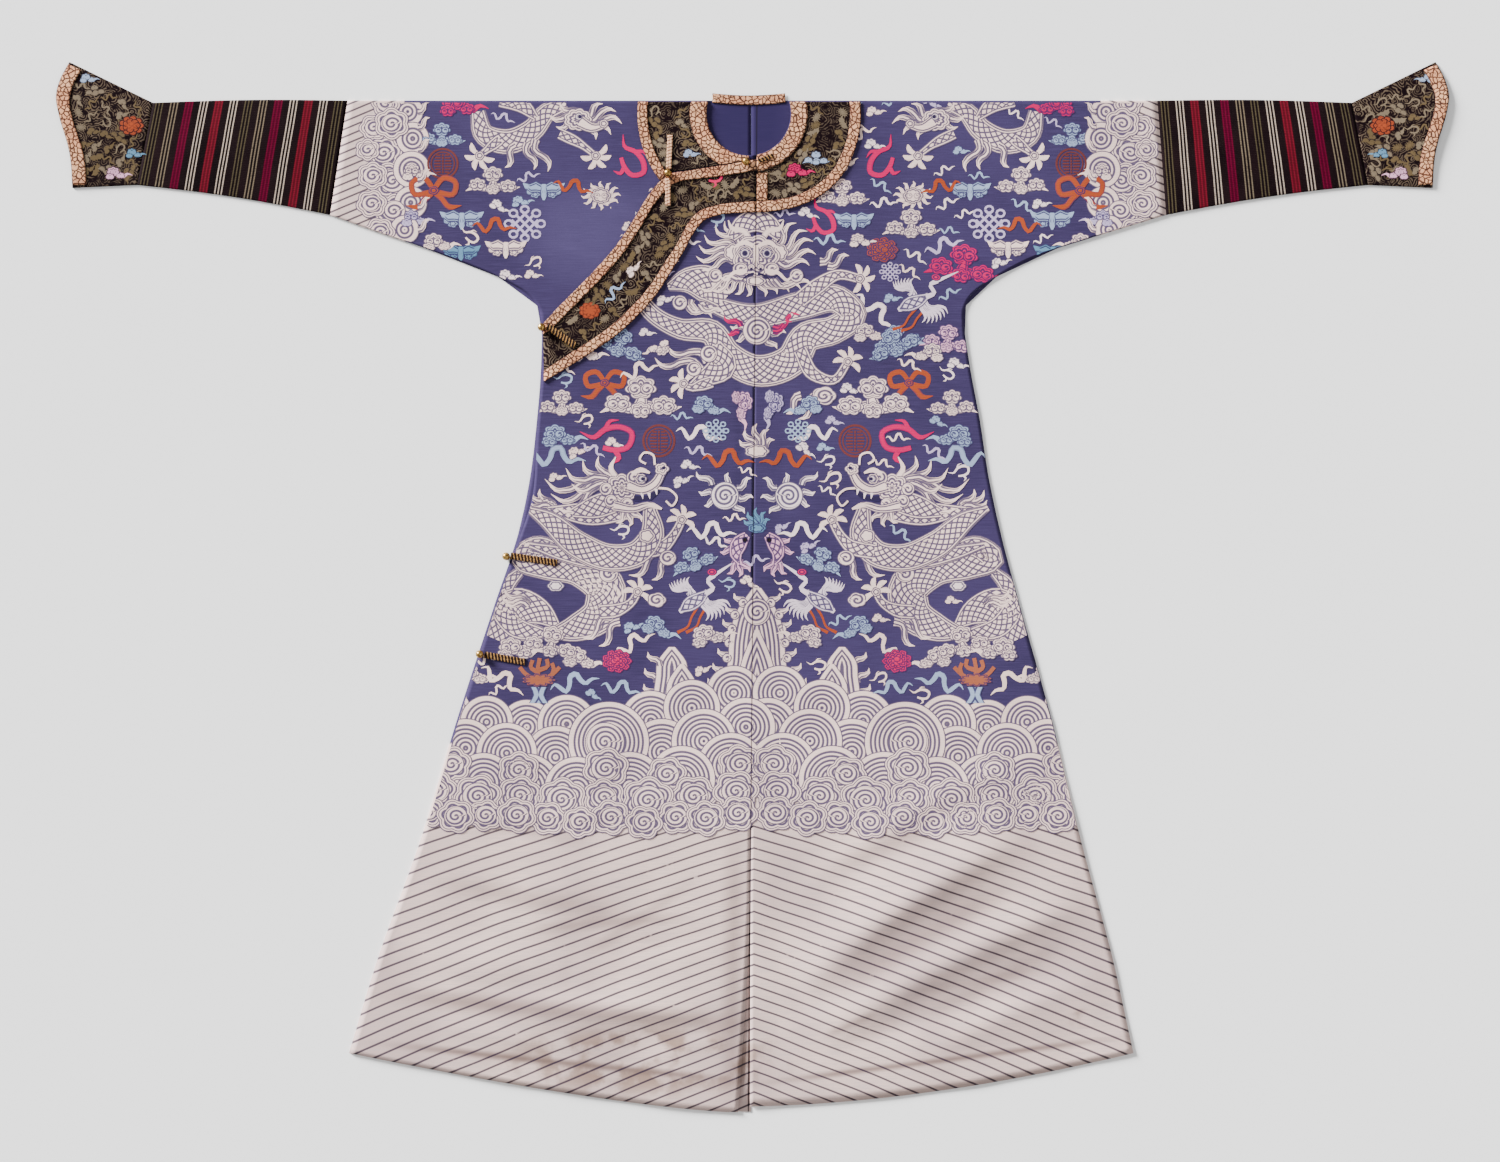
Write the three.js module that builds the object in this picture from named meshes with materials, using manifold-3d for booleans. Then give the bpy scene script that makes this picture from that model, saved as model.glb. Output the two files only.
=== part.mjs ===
// A full-length silk court robe with horse-hoof cuffs, laid flat on its back with its sleeves stretched out.
// Millimetres. +Z is up off the table, +Y runs from hem to collar, and +X is the wearer's left.
// The origin is under the middle of the robe, on the table. Left and right are always the wearer's.
//
// The cut: each body length is one piece of silk that folds over its own shoulder, from the back hem up
// and down again to the front hem. The right one ends in front as an underlap, which the overlap covers.
// The overlap is sewn to the left front down the centre seam and buttons along the right side. Striped
// sleeves and flared cuffs are flat tubes. A dark collar facing and band lie on the fronts, edged with
// ribbon.
import * as THREE from "three";
import { mergeVertices } from "three/addons/utils/BufferGeometryUtils.js";
import Module from "manifold-3d";

const wasm = await Module();
wasm.setup();

// Walls and the gap between two layers that lie on each other.
const SILK = 1.2;
const FACING = 1.0;
const RIBBON = 0.8;
const GAP = 0.3;

// Heights of the layers above the table.
const BACK_TOP = SILK;
const UNDER_Z = BACK_TOP + GAP;
const UNDER_TOP = UNDER_Z + SILK;
const OVER_Z = UNDER_TOP + GAP;
const OVER_TOP = OVER_Z + SILK;

// Main places of the cut.
const SHOULDER_Y = 668;
const SLEEVE_BOTTOM_Y = 511;
const HEM_CORNER_Y = -640;
const SLEEVE_TOP_X = 556;
const CUFF_SEAM = { topX: 823, topY: 665, bottomX: 845, bottomY: 552 };
const UNDERARM_Y = 361;
const VENT_TOP_Y = -420;

// The body's outline, from the foot of the sleeve seam through the underarm and down to the hem corner.
const SIDE = [
  { y: 511, left: 568, right: 580 },
  { y: 489, left: 495, right: 519 },
  { y: 456, left: 393, right: 423 },
  { y: 426, left: 335, right: 349 },
  { y: 405, left: 305, right: 311 },
  { y: 383, left: 292, right: 294 },
  { y: 360, left: 291, right: 290 },
  { y: 312, left: 297, right: 290 },
  { y: 230, left: 312, right: 296 },
  { y: 147, left: 325, right: 306 },
  { y: 65, left: 343, right: 324 },
  { y: -18, left: 365, right: 352 },
  { y: -183, left: 411, right: 406 },
  { y: -348, left: 451, right: 456 },
  { y: -512, left: 495, right: 515 },
  { y: -640, left: 523, right: 554 },
];

// The hem drops from its corner to the centre as a power of the distance from the centre.
const HEM = {
  left: { centreY: -713, power: 1.75 },
  right: { centreY: -721, power: 1.35 },
};

// The collar is a set of rings about one centre, and the outermost draws in towards the front, from as many
// degrees off it as drawIn says. The rings end this far below the shoulder's fold.
const NECK = { x: -5, y: 650, hole: 57, ribbonOut: 81, out: 154, frontOut: 136, drawIn: 60, cutDepth: 30 };
const FOLD_MARGIN = 2;
const EDGING = 15;
const TRIM = 0.4;
const DIVIDER_X = 5;
const BACK_NECK = { half: 50, lowY: 665, highY: 678, dip: 3 };

// The overlap's dark band, from the centre seam to the underarm: its upper and its lower edge.
const BAND = [
  { upX: 4, upY: 587, lowX: 4, lowY: 514 },
  { upX: -28, upY: 581, lowX: -16, lowY: 513 },
  { upX: -54, upY: 577, lowX: -30, lowY: 512 },
  { upX: -91, upY: 571, lowX: -46, lowY: 510 },
  { upX: -113, upY: 567, lowX: -65, lowY: 503 },
  { upX: -130, upY: 554, lowX: -80, lowY: 486 },
  { upX: -144, upY: 536, lowX: -93, lowY: 462 },
  { upX: -166, upY: 500, lowX: -111, lowY: 433 },
  { upX: -188, upY: 468, lowX: -130, lowY: 403 },
  { upX: -214, upY: 438, lowX: -155, lowY: 374 },
  { upX: -240, upY: 411, lowX: -183, lowY: 348 },
  { upX: -266, upY: 385, lowX: -214, lowY: 326 },
  { upX: -280, upY: 370, lowX: -250, lowY: 303 },
  { upX: -288, upY: 361, lowX: -286, lowY: 281 },
];

// The flared cuff's open edge, from its top tip down.
const CUFF_EDGE = [
  { t: 0, x: 938, y: 721 },
  { t: 0.15, x: 950, y: 698 },
  { t: 0.3, x: 956, y: 674 },
  { t: 0.45, x: 952, y: 648 },
  { t: 0.65, x: 940, y: 607 },
  { t: 0.8, x: 936, y: 585 },
  { t: 1, x: 934, y: 548 },
];
const CUFF_EDGING = 20;
const CUFF_BULGE = 2.5;
const SLEEVE_BULGE = 2.2;

// How far the middle of a sleeve's upper and lower edge stands above the straight line between its ends.
const SLEEVE_BELLY = { top: 2.5, bottom: 4 };

// Heights of the grid rows where a layer lies flat, and where the hem starts to draw the rows down.
const SHOULDER_ROWS = [511, 500, 480, 456, 426, 405, 383, 360, 312];
const FLAT_ROWS = [...SHOULDER_ROWS, 230, 90, -100, -300, -480, HEM_CORNER_Y];
const HEM_FALL_Y = -300;

// How far each front's inner edge draws back at the foot of the vent, and how the overlap's curves there.
const VENT = { left: 2, right: 24, overlap: 14, power: 1.5 };

// The underlap stops this far short of the seam. The overlap's free side lies this far inside the layers
// under it, and most at the waist.
const UNDERLAP_INSET = 2;
const FREE_SIDE = { inset: 2, waistInset: 6, waistY: 125, waistHalf: 50 };

// How many spans each surface has along and across itself.
const SPANS = {
  fold: 4,
  skirt: 31,
  skirtTopY: 290,
  leftBody: 15,
  rightBody: 5,
  overlap: 36,
  sleeve: [8, 6],
  cuff: [5, 10],
  cuffRibbon: 14,
  ball: [12, 8],
};

// Soft folds in the front of the skirt: the ends of each ridge, its sideways bow, half width and rise.
const FOLDS = [
  { x0: 372, y0: -330, x1: 60, y1: -548, bow: -18, half: 44, rise: 9 },
  { x0: 462, y0: -425, x1: 80, y1: -622, bow: -16, half: 38, rise: 7 },
  { x0: 485, y0: -560, x1: 190, y1: -650, bow: -8, half: 30, rise: 4 },
  { x0: -430, y0: -590, x1: -14, y1: -566, bow: -10, half: 34, rise: 5 },
  { x0: -492, y0: -492, x1: -250, y1: -530, bow: -10, half: 30, rise: 5 },
  { x0: -360, y0: -440, x1: -140, y1: -400, bow: 8, half: 34, rise: 3 },
];

// The small closures. Each ball, and each strip that holds one, lies on the named surface.
const BALL_R = 5.5;
const STRIP = 1.4;
const CLOSURES = [
  { name: "neck", x: -9, y: 583, on: "bandRibbon" },
  { name: "collar", x: -116, y: 567, on: "bandRibbon" },
  { name: "underarm", x: -289, y: 356, on: "bandRibbon" },
  { name: "side_upper", x: -338, y: 42, on: "table" },
  { name: "side_lower", x: -374, y: -92, on: "overlap" },
];
const STRIPS = [
  { name: "strip_neck", x0: 8, y0: 584, x1: 28, y1: 592, width: 6, on: "leftRibbon" },
  { name: "strip_collar_upper", x0: -115, y0: 574, x1: -113, y1: 620, width: 7, on: "rightFacing" },
  { name: "strip_collar_lower", x0: -116, y0: 560, x1: -116, y1: 523, width: 7, on: "bandRibbon" },
  { name: "strip_underarm", x0: -282, y0: 358, x1: -243, y1: 331, width: 9, on: "bandRibbon" },
  { name: "strip_side_upper", x0: -332, y0: 43, x1: -268, y1: 33, width: 9, on: "overlap" },
  { name: "strip_side_lower", x0: -368, y0: -93, x1: -312, y1: -103, width: 9, on: "overlap" },
];

const COLOURS = {
  silk: 0x45457f,
  wave: 0xc9c2c0,
  dark: 0x251a28,
  ribbon: 0xe2b594,
  stripe: 0x221620,
  brass: 0xb08a3c,
};
const finish = (colour, roughness = 0.6, metalness = 0) =>
  new THREE.MeshStandardMaterial({ color: colour, roughness, metalness });
const SILK_FINISH = finish(COLOURS.silk, 0.55);
const DARK_FINISH = finish(COLOURS.dark, 0.6);
const RIBBON_FINISH = finish(COLOURS.ribbon, 0.65);
const STRIPE_FINISH = finish(COLOURS.stripe, 0.6);
const WAVE_FINISH = finish(COLOURS.wave, 0.55);
const BRASS_FINISH = finish(COLOURS.brass, 0.35, 0.9);

const lerp = (a, b, t) => a + (b - a) * t;
const clamp = (v, low, high) => Math.min(high, Math.max(low, v));
const lerpPoint = (a, b, t) => [lerp(a[0], b[0], t), lerp(a[1], b[1], t)];
const steps = (count) => Array.from({ length: count + 1 }, (_, i) => i / count);

// A smooth curve through a table: cubic between rows, with each row's slope taken from its neighbours.
function curve(rows, inKey, outKey) {
  const sorted = [...rows].sort((a, b) => a[inKey] - b[inKey]);
  const xs = sorted.map((r) => r[inKey]);
  const ys = sorted.map((r) => r[outKey]);
  const secant = xs.slice(1).map((x, i) => (ys[i + 1] - ys[i]) / (x - xs[i]));
  const slope = xs.map((_, i) => {
    if (i === 0) return secant[0];
    if (i === xs.length - 1) return secant[i - 1];
    const before = xs[i] - xs[i - 1];
    const after = xs[i + 1] - xs[i];
    return (secant[i - 1] * after + secant[i] * before) / (before + after);
  });
  return (x) => {
    const at = clamp(x, xs[0], xs[xs.length - 1]);
    let i = 0;
    while (i < xs.length - 2 && at > xs[i + 1]) i += 1;
    const h = xs[i + 1] - xs[i];
    const t = (at - xs[i]) / h;
    const a = (1 + 2 * t) * (1 - t) ** 2 * ys[i] + t * (1 - t) ** 2 * h * slope[i];
    return a + t * t * (3 - 2 * t) * ys[i + 1] + t * t * (t - 1) * h * slope[i + 1];
  };
}

const sideCurve = { left: curve(SIDE, "y", "left"), right: curve(SIDE, "y", "right") };
const SIGN = { left: 1, right: -1 };

// Distance from the centre line to a body length's outer edge at height y.
function outerX(side, y) {
  if (y <= SLEEVE_BOTTOM_Y) return sideCurve[side](y);
  return lerp(SIDE[0][side], SLEEVE_TOP_X, (y - SLEEVE_BOTTOM_Y) / (SHOULDER_Y - SLEEVE_BOTTOM_Y));
}

// The hem's height at a share of the way from the centre to the corner.
function hemY(side, share) {
  const { centreY, power } = HEM[side];
  return centreY + (HEM_CORNER_Y - centreY) * share ** power;
}

// The centre seams lean a little, as the robe lies.
const frontSeamX = (y) => 0.5 + 0.0085 * y;
const BACK_SEAM_X = -2;
const ventOpen = (y) => clamp((VENT_TOP_Y - y) / (VENT_TOP_Y - HEM.right.centreY), 0, 1);

// Distance from the centre line to the overlap's free side.
function overlapSideX(y) {
  const waist = Math.exp(-(((y - FREE_SIDE.waistY) / FREE_SIDE.waistHalf) ** 2));
  return sideCurve.right(y) - FREE_SIDE.inset - FREE_SIDE.waistInset * waist;
}

// Soft folds: each ridge is a bowed line with a bell-shaped section that fades at both ends.
function lift(x, y) {
  return FOLDS.reduce((sum, f) => {
    const dx = f.x1 - f.x0;
    const dy = f.y1 - f.y0;
    const length = Math.hypot(dx, dy);
    const along = ((x - f.x0) * dx + (y - f.y0) * dy) / (length * length);
    const inside = clamp(along, 0, 1);
    const bow = f.bow * 4 * inside * (1 - inside);
    const across = ((x - f.x0) * -dy + (y - f.y0) * dx) / length - bow;
    return sum + f.rise * Math.exp(-((across / f.half) ** 2)) * Math.sin(Math.PI * inside) ** 0.8;
  }, 0);
}

// The left front lies on the back, and rises at the centre to meet the overlap over the underlap.
const RAMP = 40;
const leftFrontZ = (x, y) => lerp(OVER_Z, UNDER_Z, clamp((x - frontSeamX(y)) / RAMP, 0, 1)) + lift(x, y);

// The tops of the layers. Each facing lies on its front, and each ribbon on its facing.
const above = (top, thickness) => (x, y) => top(x, y) + GAP + thickness;
const TOPS = {
  table: () => 0,
  back: () => BACK_TOP,
  underlap: () => UNDER_TOP,
  leftFront: (x, y) => leftFrontZ(x, y) + SILK,
  overlap: (x, y) => OVER_TOP + lift(x, y),
};
TOPS.leftFacing = above(TOPS.leftFront, FACING);
TOPS.rightFacing = above(TOPS.underlap, FACING);
TOPS.band = above(TOPS.overlap, FACING);
TOPS.leftRibbon = above(TOPS.leftFacing, RIBBON);
TOPS.bandRibbon = above(TOPS.band, RIBBON);

// A closed wall between two matching grids of points. With loop set, each row closes on itself as a tube.
function closedWall(outer, inner, loop = false) {
  const rows = outer.length;
  const columns = outer[0].length;
  const points = [...outer.flat(), ...inner.flat()];
  const innerStart = rows * columns;
  const index = [];
  const quad = (a, b, c, d) => index.push(a, b, c, a, c, d);
  const at = (i, j) => i * columns + (j % columns);
  const spans = loop ? columns : columns - 1;
  for (let i = 0; i < rows - 1; i += 1) {
    for (let j = 0; j < spans; j += 1) {
      const [a, b, c, d] = [at(i, j), at(i, j + 1), at(i + 1, j + 1), at(i + 1, j)];
      quad(a, b, c, d);
      quad(innerStart + a, innerStart + d, innerStart + c, innerStart + b);
    }
  }
  const rim = (a, b) => quad(a, innerStart + a, innerStart + b, b);
  for (let j = 0; j < spans; j += 1) {
    rim(at(0, j), at(0, j + 1));
    rim(at(rows - 1, j + 1), at(rows - 1, j));
  }
  for (let i = 0; i < rows - 1 && !loop; i += 1) {
    rim(at(i + 1, 0), at(i, 0));
    rim(at(i, columns - 1), at(i + 1, columns - 1));
  }
  return facingOut(points, index);
}

// Turns every face round if the closed surface is inside out.
function facingOut(points, index) {
  const corners = points.map((p) => new THREE.Vector3(...p));
  const normal = new THREE.Vector3();
  let volume = 0;
  for (let k = 0; k < index.length; k += 3) {
    const [a, b, c] = [corners[index[k]], corners[index[k + 1]], corners[index[k + 2]]];
    volume += a.dot(normal.crossVectors(b, c));
  }
  const geometry = new THREE.BufferGeometry();
  geometry.setAttribute("position", new THREE.Float32BufferAttribute(points.flat(), 3));
  geometry.setIndex(volume < 0 ? [...index].reverse() : index);
  return geometry;
}

// A layer of cloth on a grid of places, from a height function up to its thickness above that.
function laidWall(grid, base, thickness) {
  const raised = (extra) => grid.map((row) => row.map(([x, y]) => [x, y, base(x, y) + extra]));
  return closedWall(raised(thickness), raised(0));
}
const layOn = (under, grid, thickness) => laidWall(grid, (x, y) => TOPS[under](x, y) + GAP, thickness);

function toManifold(geometry) {
  const bare = geometry.clone();
  bare.deleteAttribute("normal");
  bare.deleteAttribute("uv");
  const merged = mergeVertices(bare, 1e-4);
  const vertProperties = Float32Array.from(merged.attributes.position.array);
  const triVerts = Uint32Array.from(merged.index.array);
  return new wasm.Manifold(new wasm.Mesh({ numProp: 3, vertProperties, triVerts }));
}

function fromManifold(solid) {
  const { vertProperties, triVerts } = solid.getMesh();
  const geometry = new THREE.BufferGeometry();
  geometry.setAttribute("position", new THREE.BufferAttribute(vertProperties, 3));
  geometry.setIndex(new THREE.BufferAttribute(triVerts, 1));
  return geometry;
}

// The neck hole goes down through the front layers and stops above the inside of the back.
function cutNeck(geometry) {
  const shape = new THREE.Shape().absarc(NECK.x, NECK.y, NECK.hole, 0, 2 * Math.PI);
  const settings = { depth: NECK.cutDepth, bevelEnabled: false, curveSegments: 20 };
  const cutter = new THREE.ExtrudeGeometry(shape, settings);
  cutter.translate(0, 0, BACK_TOP + GAP / 2);
  return fromManifold(toManifold(geometry).subtract(toManifold(cutter)));
}

// One body length: rows up the back, round the shoulder fold and down the front.
// frontZ is the height of the front layer's underside, and frontX its inner edge. Each column lies at a share
// of the width, or at an offset from the inner edge. The rows move from the back seam to the front's at
// seamTurn.
function bodyLength(side, { frontZ, frontX, shares, frontRows, seamTurn }) {
  const sign = SIGN[side];
  const outer = [];
  const inner = [];
  const place = (y, share, innerEdge, offset) => {
    const fall = clamp((HEM_FALL_Y - y) / (HEM_FALL_Y - HEM_CORNER_Y), 0, 1) ** 2;
    const atY = y + fall * (hemY(side, share) - HEM_CORNER_Y);
    const edge = innerEdge(atY);
    return [offset ? edge + sign * offset : lerp(edge, sign * outerX(side, y), share), atY];
  };
  const columnsAt = (y, innerEdge) => shares.map(({ share, offset }) => place(y, share, innerEdge, offset));
  const backEdge = () => BACK_SEAM_X + sign * (GAP / 2);
  for (const y of [...FLAT_ROWS].reverse()) {
    const row = columnsAt(y, backEdge);
    outer.push(row.map(([x, atY]) => [x, atY, 0]));
    inner.push(row.map(([x, atY]) => [x, atY, BACK_TOP]));
  }
  for (const turn of steps(SPANS.fold)) {
    const angle = -Math.PI / 2 + Math.PI * turn;
    const row = columnsAt(SHOULDER_Y, turn < seamTurn ? backEdge : frontX);
    const bend = (wall) => ([x]) => {
      const centreZ = (frontZ(x, SHOULDER_Y) + SILK) / 2;
      const radius = centreZ - wall;
      return [x, SHOULDER_Y - centreZ + radius * Math.cos(angle), centreZ + radius * Math.sin(angle)];
    };
    outer.push(row.map(bend(0)));
    inner.push(row.map(bend(SILK)));
  }
  for (const y of frontRows) {
    const row = columnsAt(y, frontX);
    outer.push(row.map(([x, atY]) => [x, atY, frontZ(x, atY) + SILK]));
    inner.push(row.map(([x, atY]) => [x, atY, frontZ(x, atY)]));
  }
  return cutNeck(closedWall(outer, inner));
}

function leftBody() {
  const skirtRows = steps(SPANS.skirt).map((t) => lerp(SPANS.skirtTopY, HEM_CORNER_Y, t));
  const outward = steps(SPANS.leftBody).slice(3);
  const shares = [{ share: 0 }, { share: 0.1, offset: RAMP }, ...outward.map((share) => ({ share }))];
  return bodyLength("left", {
    frontZ: leftFrontZ,
    frontX: (y) => frontSeamX(y) + GAP / 2 + VENT.left * ventOpen(y),
    shares,
    frontRows: [...SHOULDER_ROWS, ...skirtRows],
    seamTurn: 0.1,
  });
}

function rightBody() {
  return bodyLength("right", {
    frontZ: () => UNDER_Z,
    frontX: (y) => frontSeamX(y) - UNDERLAP_INSET - VENT.right * ventOpen(y),
    shares: steps(SPANS.rightBody).map((share) => ({ share })),
    frontRows: FLAT_ROWS,
    seamTurn: 0.9,
  });
}

// The overlap hangs from the band's upper edge to the hem, between the centre seam and its free side.
// Its columns start at the band's own rows, so that both have the same upper outline.
function overlap() {
  const seamX = (y) => frontSeamX(y) - GAP / 2 - VENT.overlap * ventOpen(y) ** VENT.power;
  const freeX = (y) => -overlapSideX(Math.min(y, UNDERARM_Y));
  const [first, last] = [BAND[0].upX, BAND[BAND.length - 1].upX];
  const grid = steps(SPANS.overlap).map((v) =>
    BAND.map((row) => {
      const share = (first - row.upX) / (first - last);
      const y = lerp(row.upY, hemY("right", share), v);
      return [lerp(seamX(y), freeX(y), share), y];
    }),
  );
  return laidWall(grid, (x, y) => OVER_Z + lift(x, y), SILK);
}

// A tube pressed flat: s runs along it and t across its front from top to bottom, as place(s, t) gives.
// bulge(s) is how far the middle of the front stands up.
function flatTube(place, bulge, along, across) {
  const radius = UNDER_TOP / 2;
  const ringAt = (s, wall) => {
    const [top, bottom] = [place(s, 0), place(s, 1)];
    const length = Math.hypot(bottom[0] - top[0], bottom[1] - top[1]);
    const margin = radius / length;
    const r = radius - wall;
    const point = (t, z) => [...place(s, t), z];
    const rise = (k) => bulge(s) * Math.sin(Math.PI * k);
    const front = steps(across).map((k) => point(lerp(margin, 1 - margin, k), radius + r + rise(k)));
    const back = steps(across).map((k) => point(lerp(1 - margin, margin, k), radius - r));
    const fold = (middle, direction) =>
      [0.25, 0.5, 0.75].map((k) => {
        const reach = (Math.sin(Math.PI * k) * r * direction) / length;
        return point(middle + reach, radius + direction * r * Math.cos(Math.PI * k));
      });
    return [...front, ...fold(1 - margin, 1), ...back, ...fold(margin, -1)];
  };
  const rings = (wall) => steps(along).map((s) => ringAt(s, wall));
  return closedWall(rings(0), rings(SILK), true);
}

function sleeve(side) {
  const place = (s, t) => {
    const belly = Math.sin(Math.PI * s);
    const topX = lerp(SLEEVE_TOP_X + GAP, CUFF_SEAM.topX, s);
    const topY = lerp(SHOULDER_Y, CUFF_SEAM.topY, s) + SLEEVE_BELLY.top * belly;
    const bottomX = lerp(SIDE[0][side] + GAP, CUFF_SEAM.bottomX, s);
    const bottomY = lerp(SLEEVE_BOTTOM_Y, CUFF_SEAM.bottomY, s) + SLEEVE_BELLY.bottom * belly;
    const [x, y] = lerpPoint([topX, topY], [bottomX, bottomY], t);
    return [SIGN[side] * x, y];
  };
  return flatTube(place, (s) => SLEEVE_BULGE * Math.sin(Math.PI * s), ...SPANS.sleeve);
}

const cuffEdgeX = curve(CUFF_EDGE, "t", "x");
const cuffEdgeY = curve(CUFF_EDGE, "t", "y");

// A place on the flattened cuff: s runs from the sleeve seam to the open edge and t from top to bottom.
function cuffPlace(side, s, t) {
  const seam = lerpPoint([CUFF_SEAM.topX, CUFF_SEAM.topY], [CUFF_SEAM.bottomX, CUFF_SEAM.bottomY], t);
  const [x, y] = lerpPoint([seam[0] + GAP, seam[1]], [cuffEdgeX(t), cuffEdgeY(t)], s);
  return [SIGN[side] * x, y];
}

const cuff = (side) => flatTube((s, t) => cuffPlace(side, s, t), (s) => CUFF_BULGE * s, ...SPANS.cuff);

// The ribbon along the cuff's open edge, on the front layer only, so that the underside stays flat. It stops
// a little short of the cuff's corners and of its edge.
function cuffRibbon(side) {
  const cornerShare = 0.02;
  const edgeShare = 0.004;
  const grid = steps(SPANS.cuffRibbon).map((k) => {
    const t = lerp(cornerShare, 1 - cornerShare, k);
    const seam = cuffPlace(side, 0, t);
    const edge = cuffPlace(side, 1, t);
    const inward = CUFF_EDGING / Math.hypot(edge[0] - seam[0], edge[1] - seam[1]);
    return [edgeShare, inward / 2, inward].map((back) => {
      const s = 1 - back;
      return [...cuffPlace(side, s, t), UNDER_TOP + GAP + CUFF_BULGE * s * Math.sin(Math.PI * k)];
    });
  });
  const raised = grid.map((row) => row.map(([x, y, z]) => [x, y, z + RIBBON]));
  return closedWall(raised, grid);
}

// A place on the collar rings: angle 0 points to the front hem and grows towards the wearer's left.
const collarPlace = (radius, degrees) => {
  const angle = THREE.MathUtils.degToRad(degrees);
  return [NECK.x + radius * Math.sin(angle), NECK.y - radius * Math.cos(angle)];
};
const arcSine = (ratio) => THREE.MathUtils.radToDeg(Math.asin(ratio));
const shoulderAngle = (radius) => 90 + arcSine((SHOULDER_Y - FOLD_MARGIN - NECK.y) / radius);
const collarOut = (degrees) => {
  const share = clamp(Math.abs(degrees) / NECK.drawIn, 0, 1);
  return lerp(NECK.frontOut, NECK.out, share * share * (3 - 2 * share));
};

// The left half of the collar, from beside the centre seam round to the shoulder.
function leftCollarGrid(inner, outer, count, across) {
  const startX = DIVIDER_X + 1;
  return steps(count).map((k) =>
    steps(across).map((w) => {
      const radiusAt = (degrees) => lerp(inner(degrees), outer(degrees), w);
      const start = arcSine((startX - NECK.x) / radiusAt(0));
      const degrees = lerp(start, shoulderAngle(radiusAt(90)), k);
      return collarPlace(radiusAt(degrees), degrees);
    }),
  );
}

// The right half, from the shoulder to where the overlap's upper edge covers it.
function rightCollarGrid(inner, outer, count, across) {
  const clear = 1.2;
  const step = 0.25;
  const bandY = curve(BAND, "upX", "upY");
  const endAngle = (radius) => {
    let degrees = -shoulderAngle(radius);
    const covered = ([x, y]) => y < bandY(x) + clear;
    while (degrees < 0 && !covered(collarPlace(radius, degrees + step))) degrees += step;
    return degrees;
  };
  return steps(count).map((k) =>
    steps(across).map((w) => {
      const radius = lerp(inner, outer, w);
      return collarPlace(radius, lerp(-shoulderAngle(radius), endAngle(radius), k));
    }),
  );
}

// The band between its two edges. from and to are distances in from the upper edge, or negative ones from
// the lower.
function bandGrid(from, to, across) {
  return BAND.map((row, i) => {
    const shift = i ? 0 : frontSeamX(row.upY) - 1 - row.upX;
    const upper = [row.upX + shift, row.upY];
    const lower = [row.lowX + shift, row.lowY];
    const width = Math.hypot(lower[0] - upper[0], lower[1] - upper[1]);
    const share = (inset) => (inset < 0 ? 1 + inset / width : inset / width);
    return steps(across).map((w) => lerpPoint(upper, lower, lerp(share(from), share(to), w)));
  });
}

// The divider lies on the left facing beside the centre seam, between the neck and the collar's edge ribbon.
function dividerGrid() {
  const seam = frontSeamX(NECK.y - NECK.frontOut) + 1;
  return steps(3).map((k) => {
    const y = lerp(NECK.y - NECK.ribbonOut - 1, NECK.y - NECK.frontOut + EDGING + 1, k);
    return [seam, seam + EDGING].map((x) => [x, y]);
  });
}

// The back neck ribbon shows inside the neck hole and stands a little over the shoulder line.
function backNeckGrid() {
  return steps(8).map((k) => {
    const x = NECK.x + lerp(-BACK_NECK.half, BACK_NECK.half, k);
    const dip = BACK_NECK.dip * Math.sin(Math.PI * k);
    return [BACK_NECK.lowY, BACK_NECK.highY].map((y) => [x, y - dip]);
  });
}

function stripGrid({ x0, y0, x1, y1, width }) {
  const length = Math.hypot(x1 - x0, y1 - y0);
  const side = [(-(y1 - y0) / length) * (width / 2), ((x1 - x0) / length) * (width / 2)];
  return steps(2).map((k) => {
    const [x, y] = lerpPoint([x0, y0], [x1, y1], k);
    return [-1, 1].map((s) => [x + s * side[0], y + s * side[1]]);
  });
}

const robe = new THREE.Group();
robe.name = "robe";

function add(name, geometry, material) {
  const mesh = new THREE.Mesh(geometry, material);
  mesh.name = name;
  robe.add(mesh);
  return mesh;
}

add("body_left", leftBody(), SILK_FINISH);
add("body_right", rightBody(), SILK_FINISH);
add("overlap_front", overlap(), WAVE_FINISH);
for (const side of ["left", "right"]) {
  add(`sleeve_${side}`, sleeve(side), STRIPE_FINISH);
  add(`cuff_${side}`, cuff(side), DARK_FINISH);
  add(`ribbon_cuff_${side}`, cuffRibbon(side), RIBBON_FINISH);
}

// Dark facings and the overlap's band.
const facingIn = NECK.hole + 1;
const innerEdge = () => facingIn;
const ribbonEdge = () => NECK.ribbonOut;
const edgingIn = (degrees) => collarOut(degrees) - EDGING;
const leftFacing = leftCollarGrid(innerEdge, collarOut, 16, 3);
const rightFacing = rightCollarGrid(facingIn, NECK.out - 1, 14, 8);
add("facing_left", layOn("leftFront", leftFacing, FACING), DARK_FINISH);
add("facing_right", layOn("underlap", rightFacing, FACING), DARK_FINISH);
add("band_overlap", layOn("overlap", bandGrid(TRIM, -TRIM, 3), FACING), DARK_FINISH);

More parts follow.
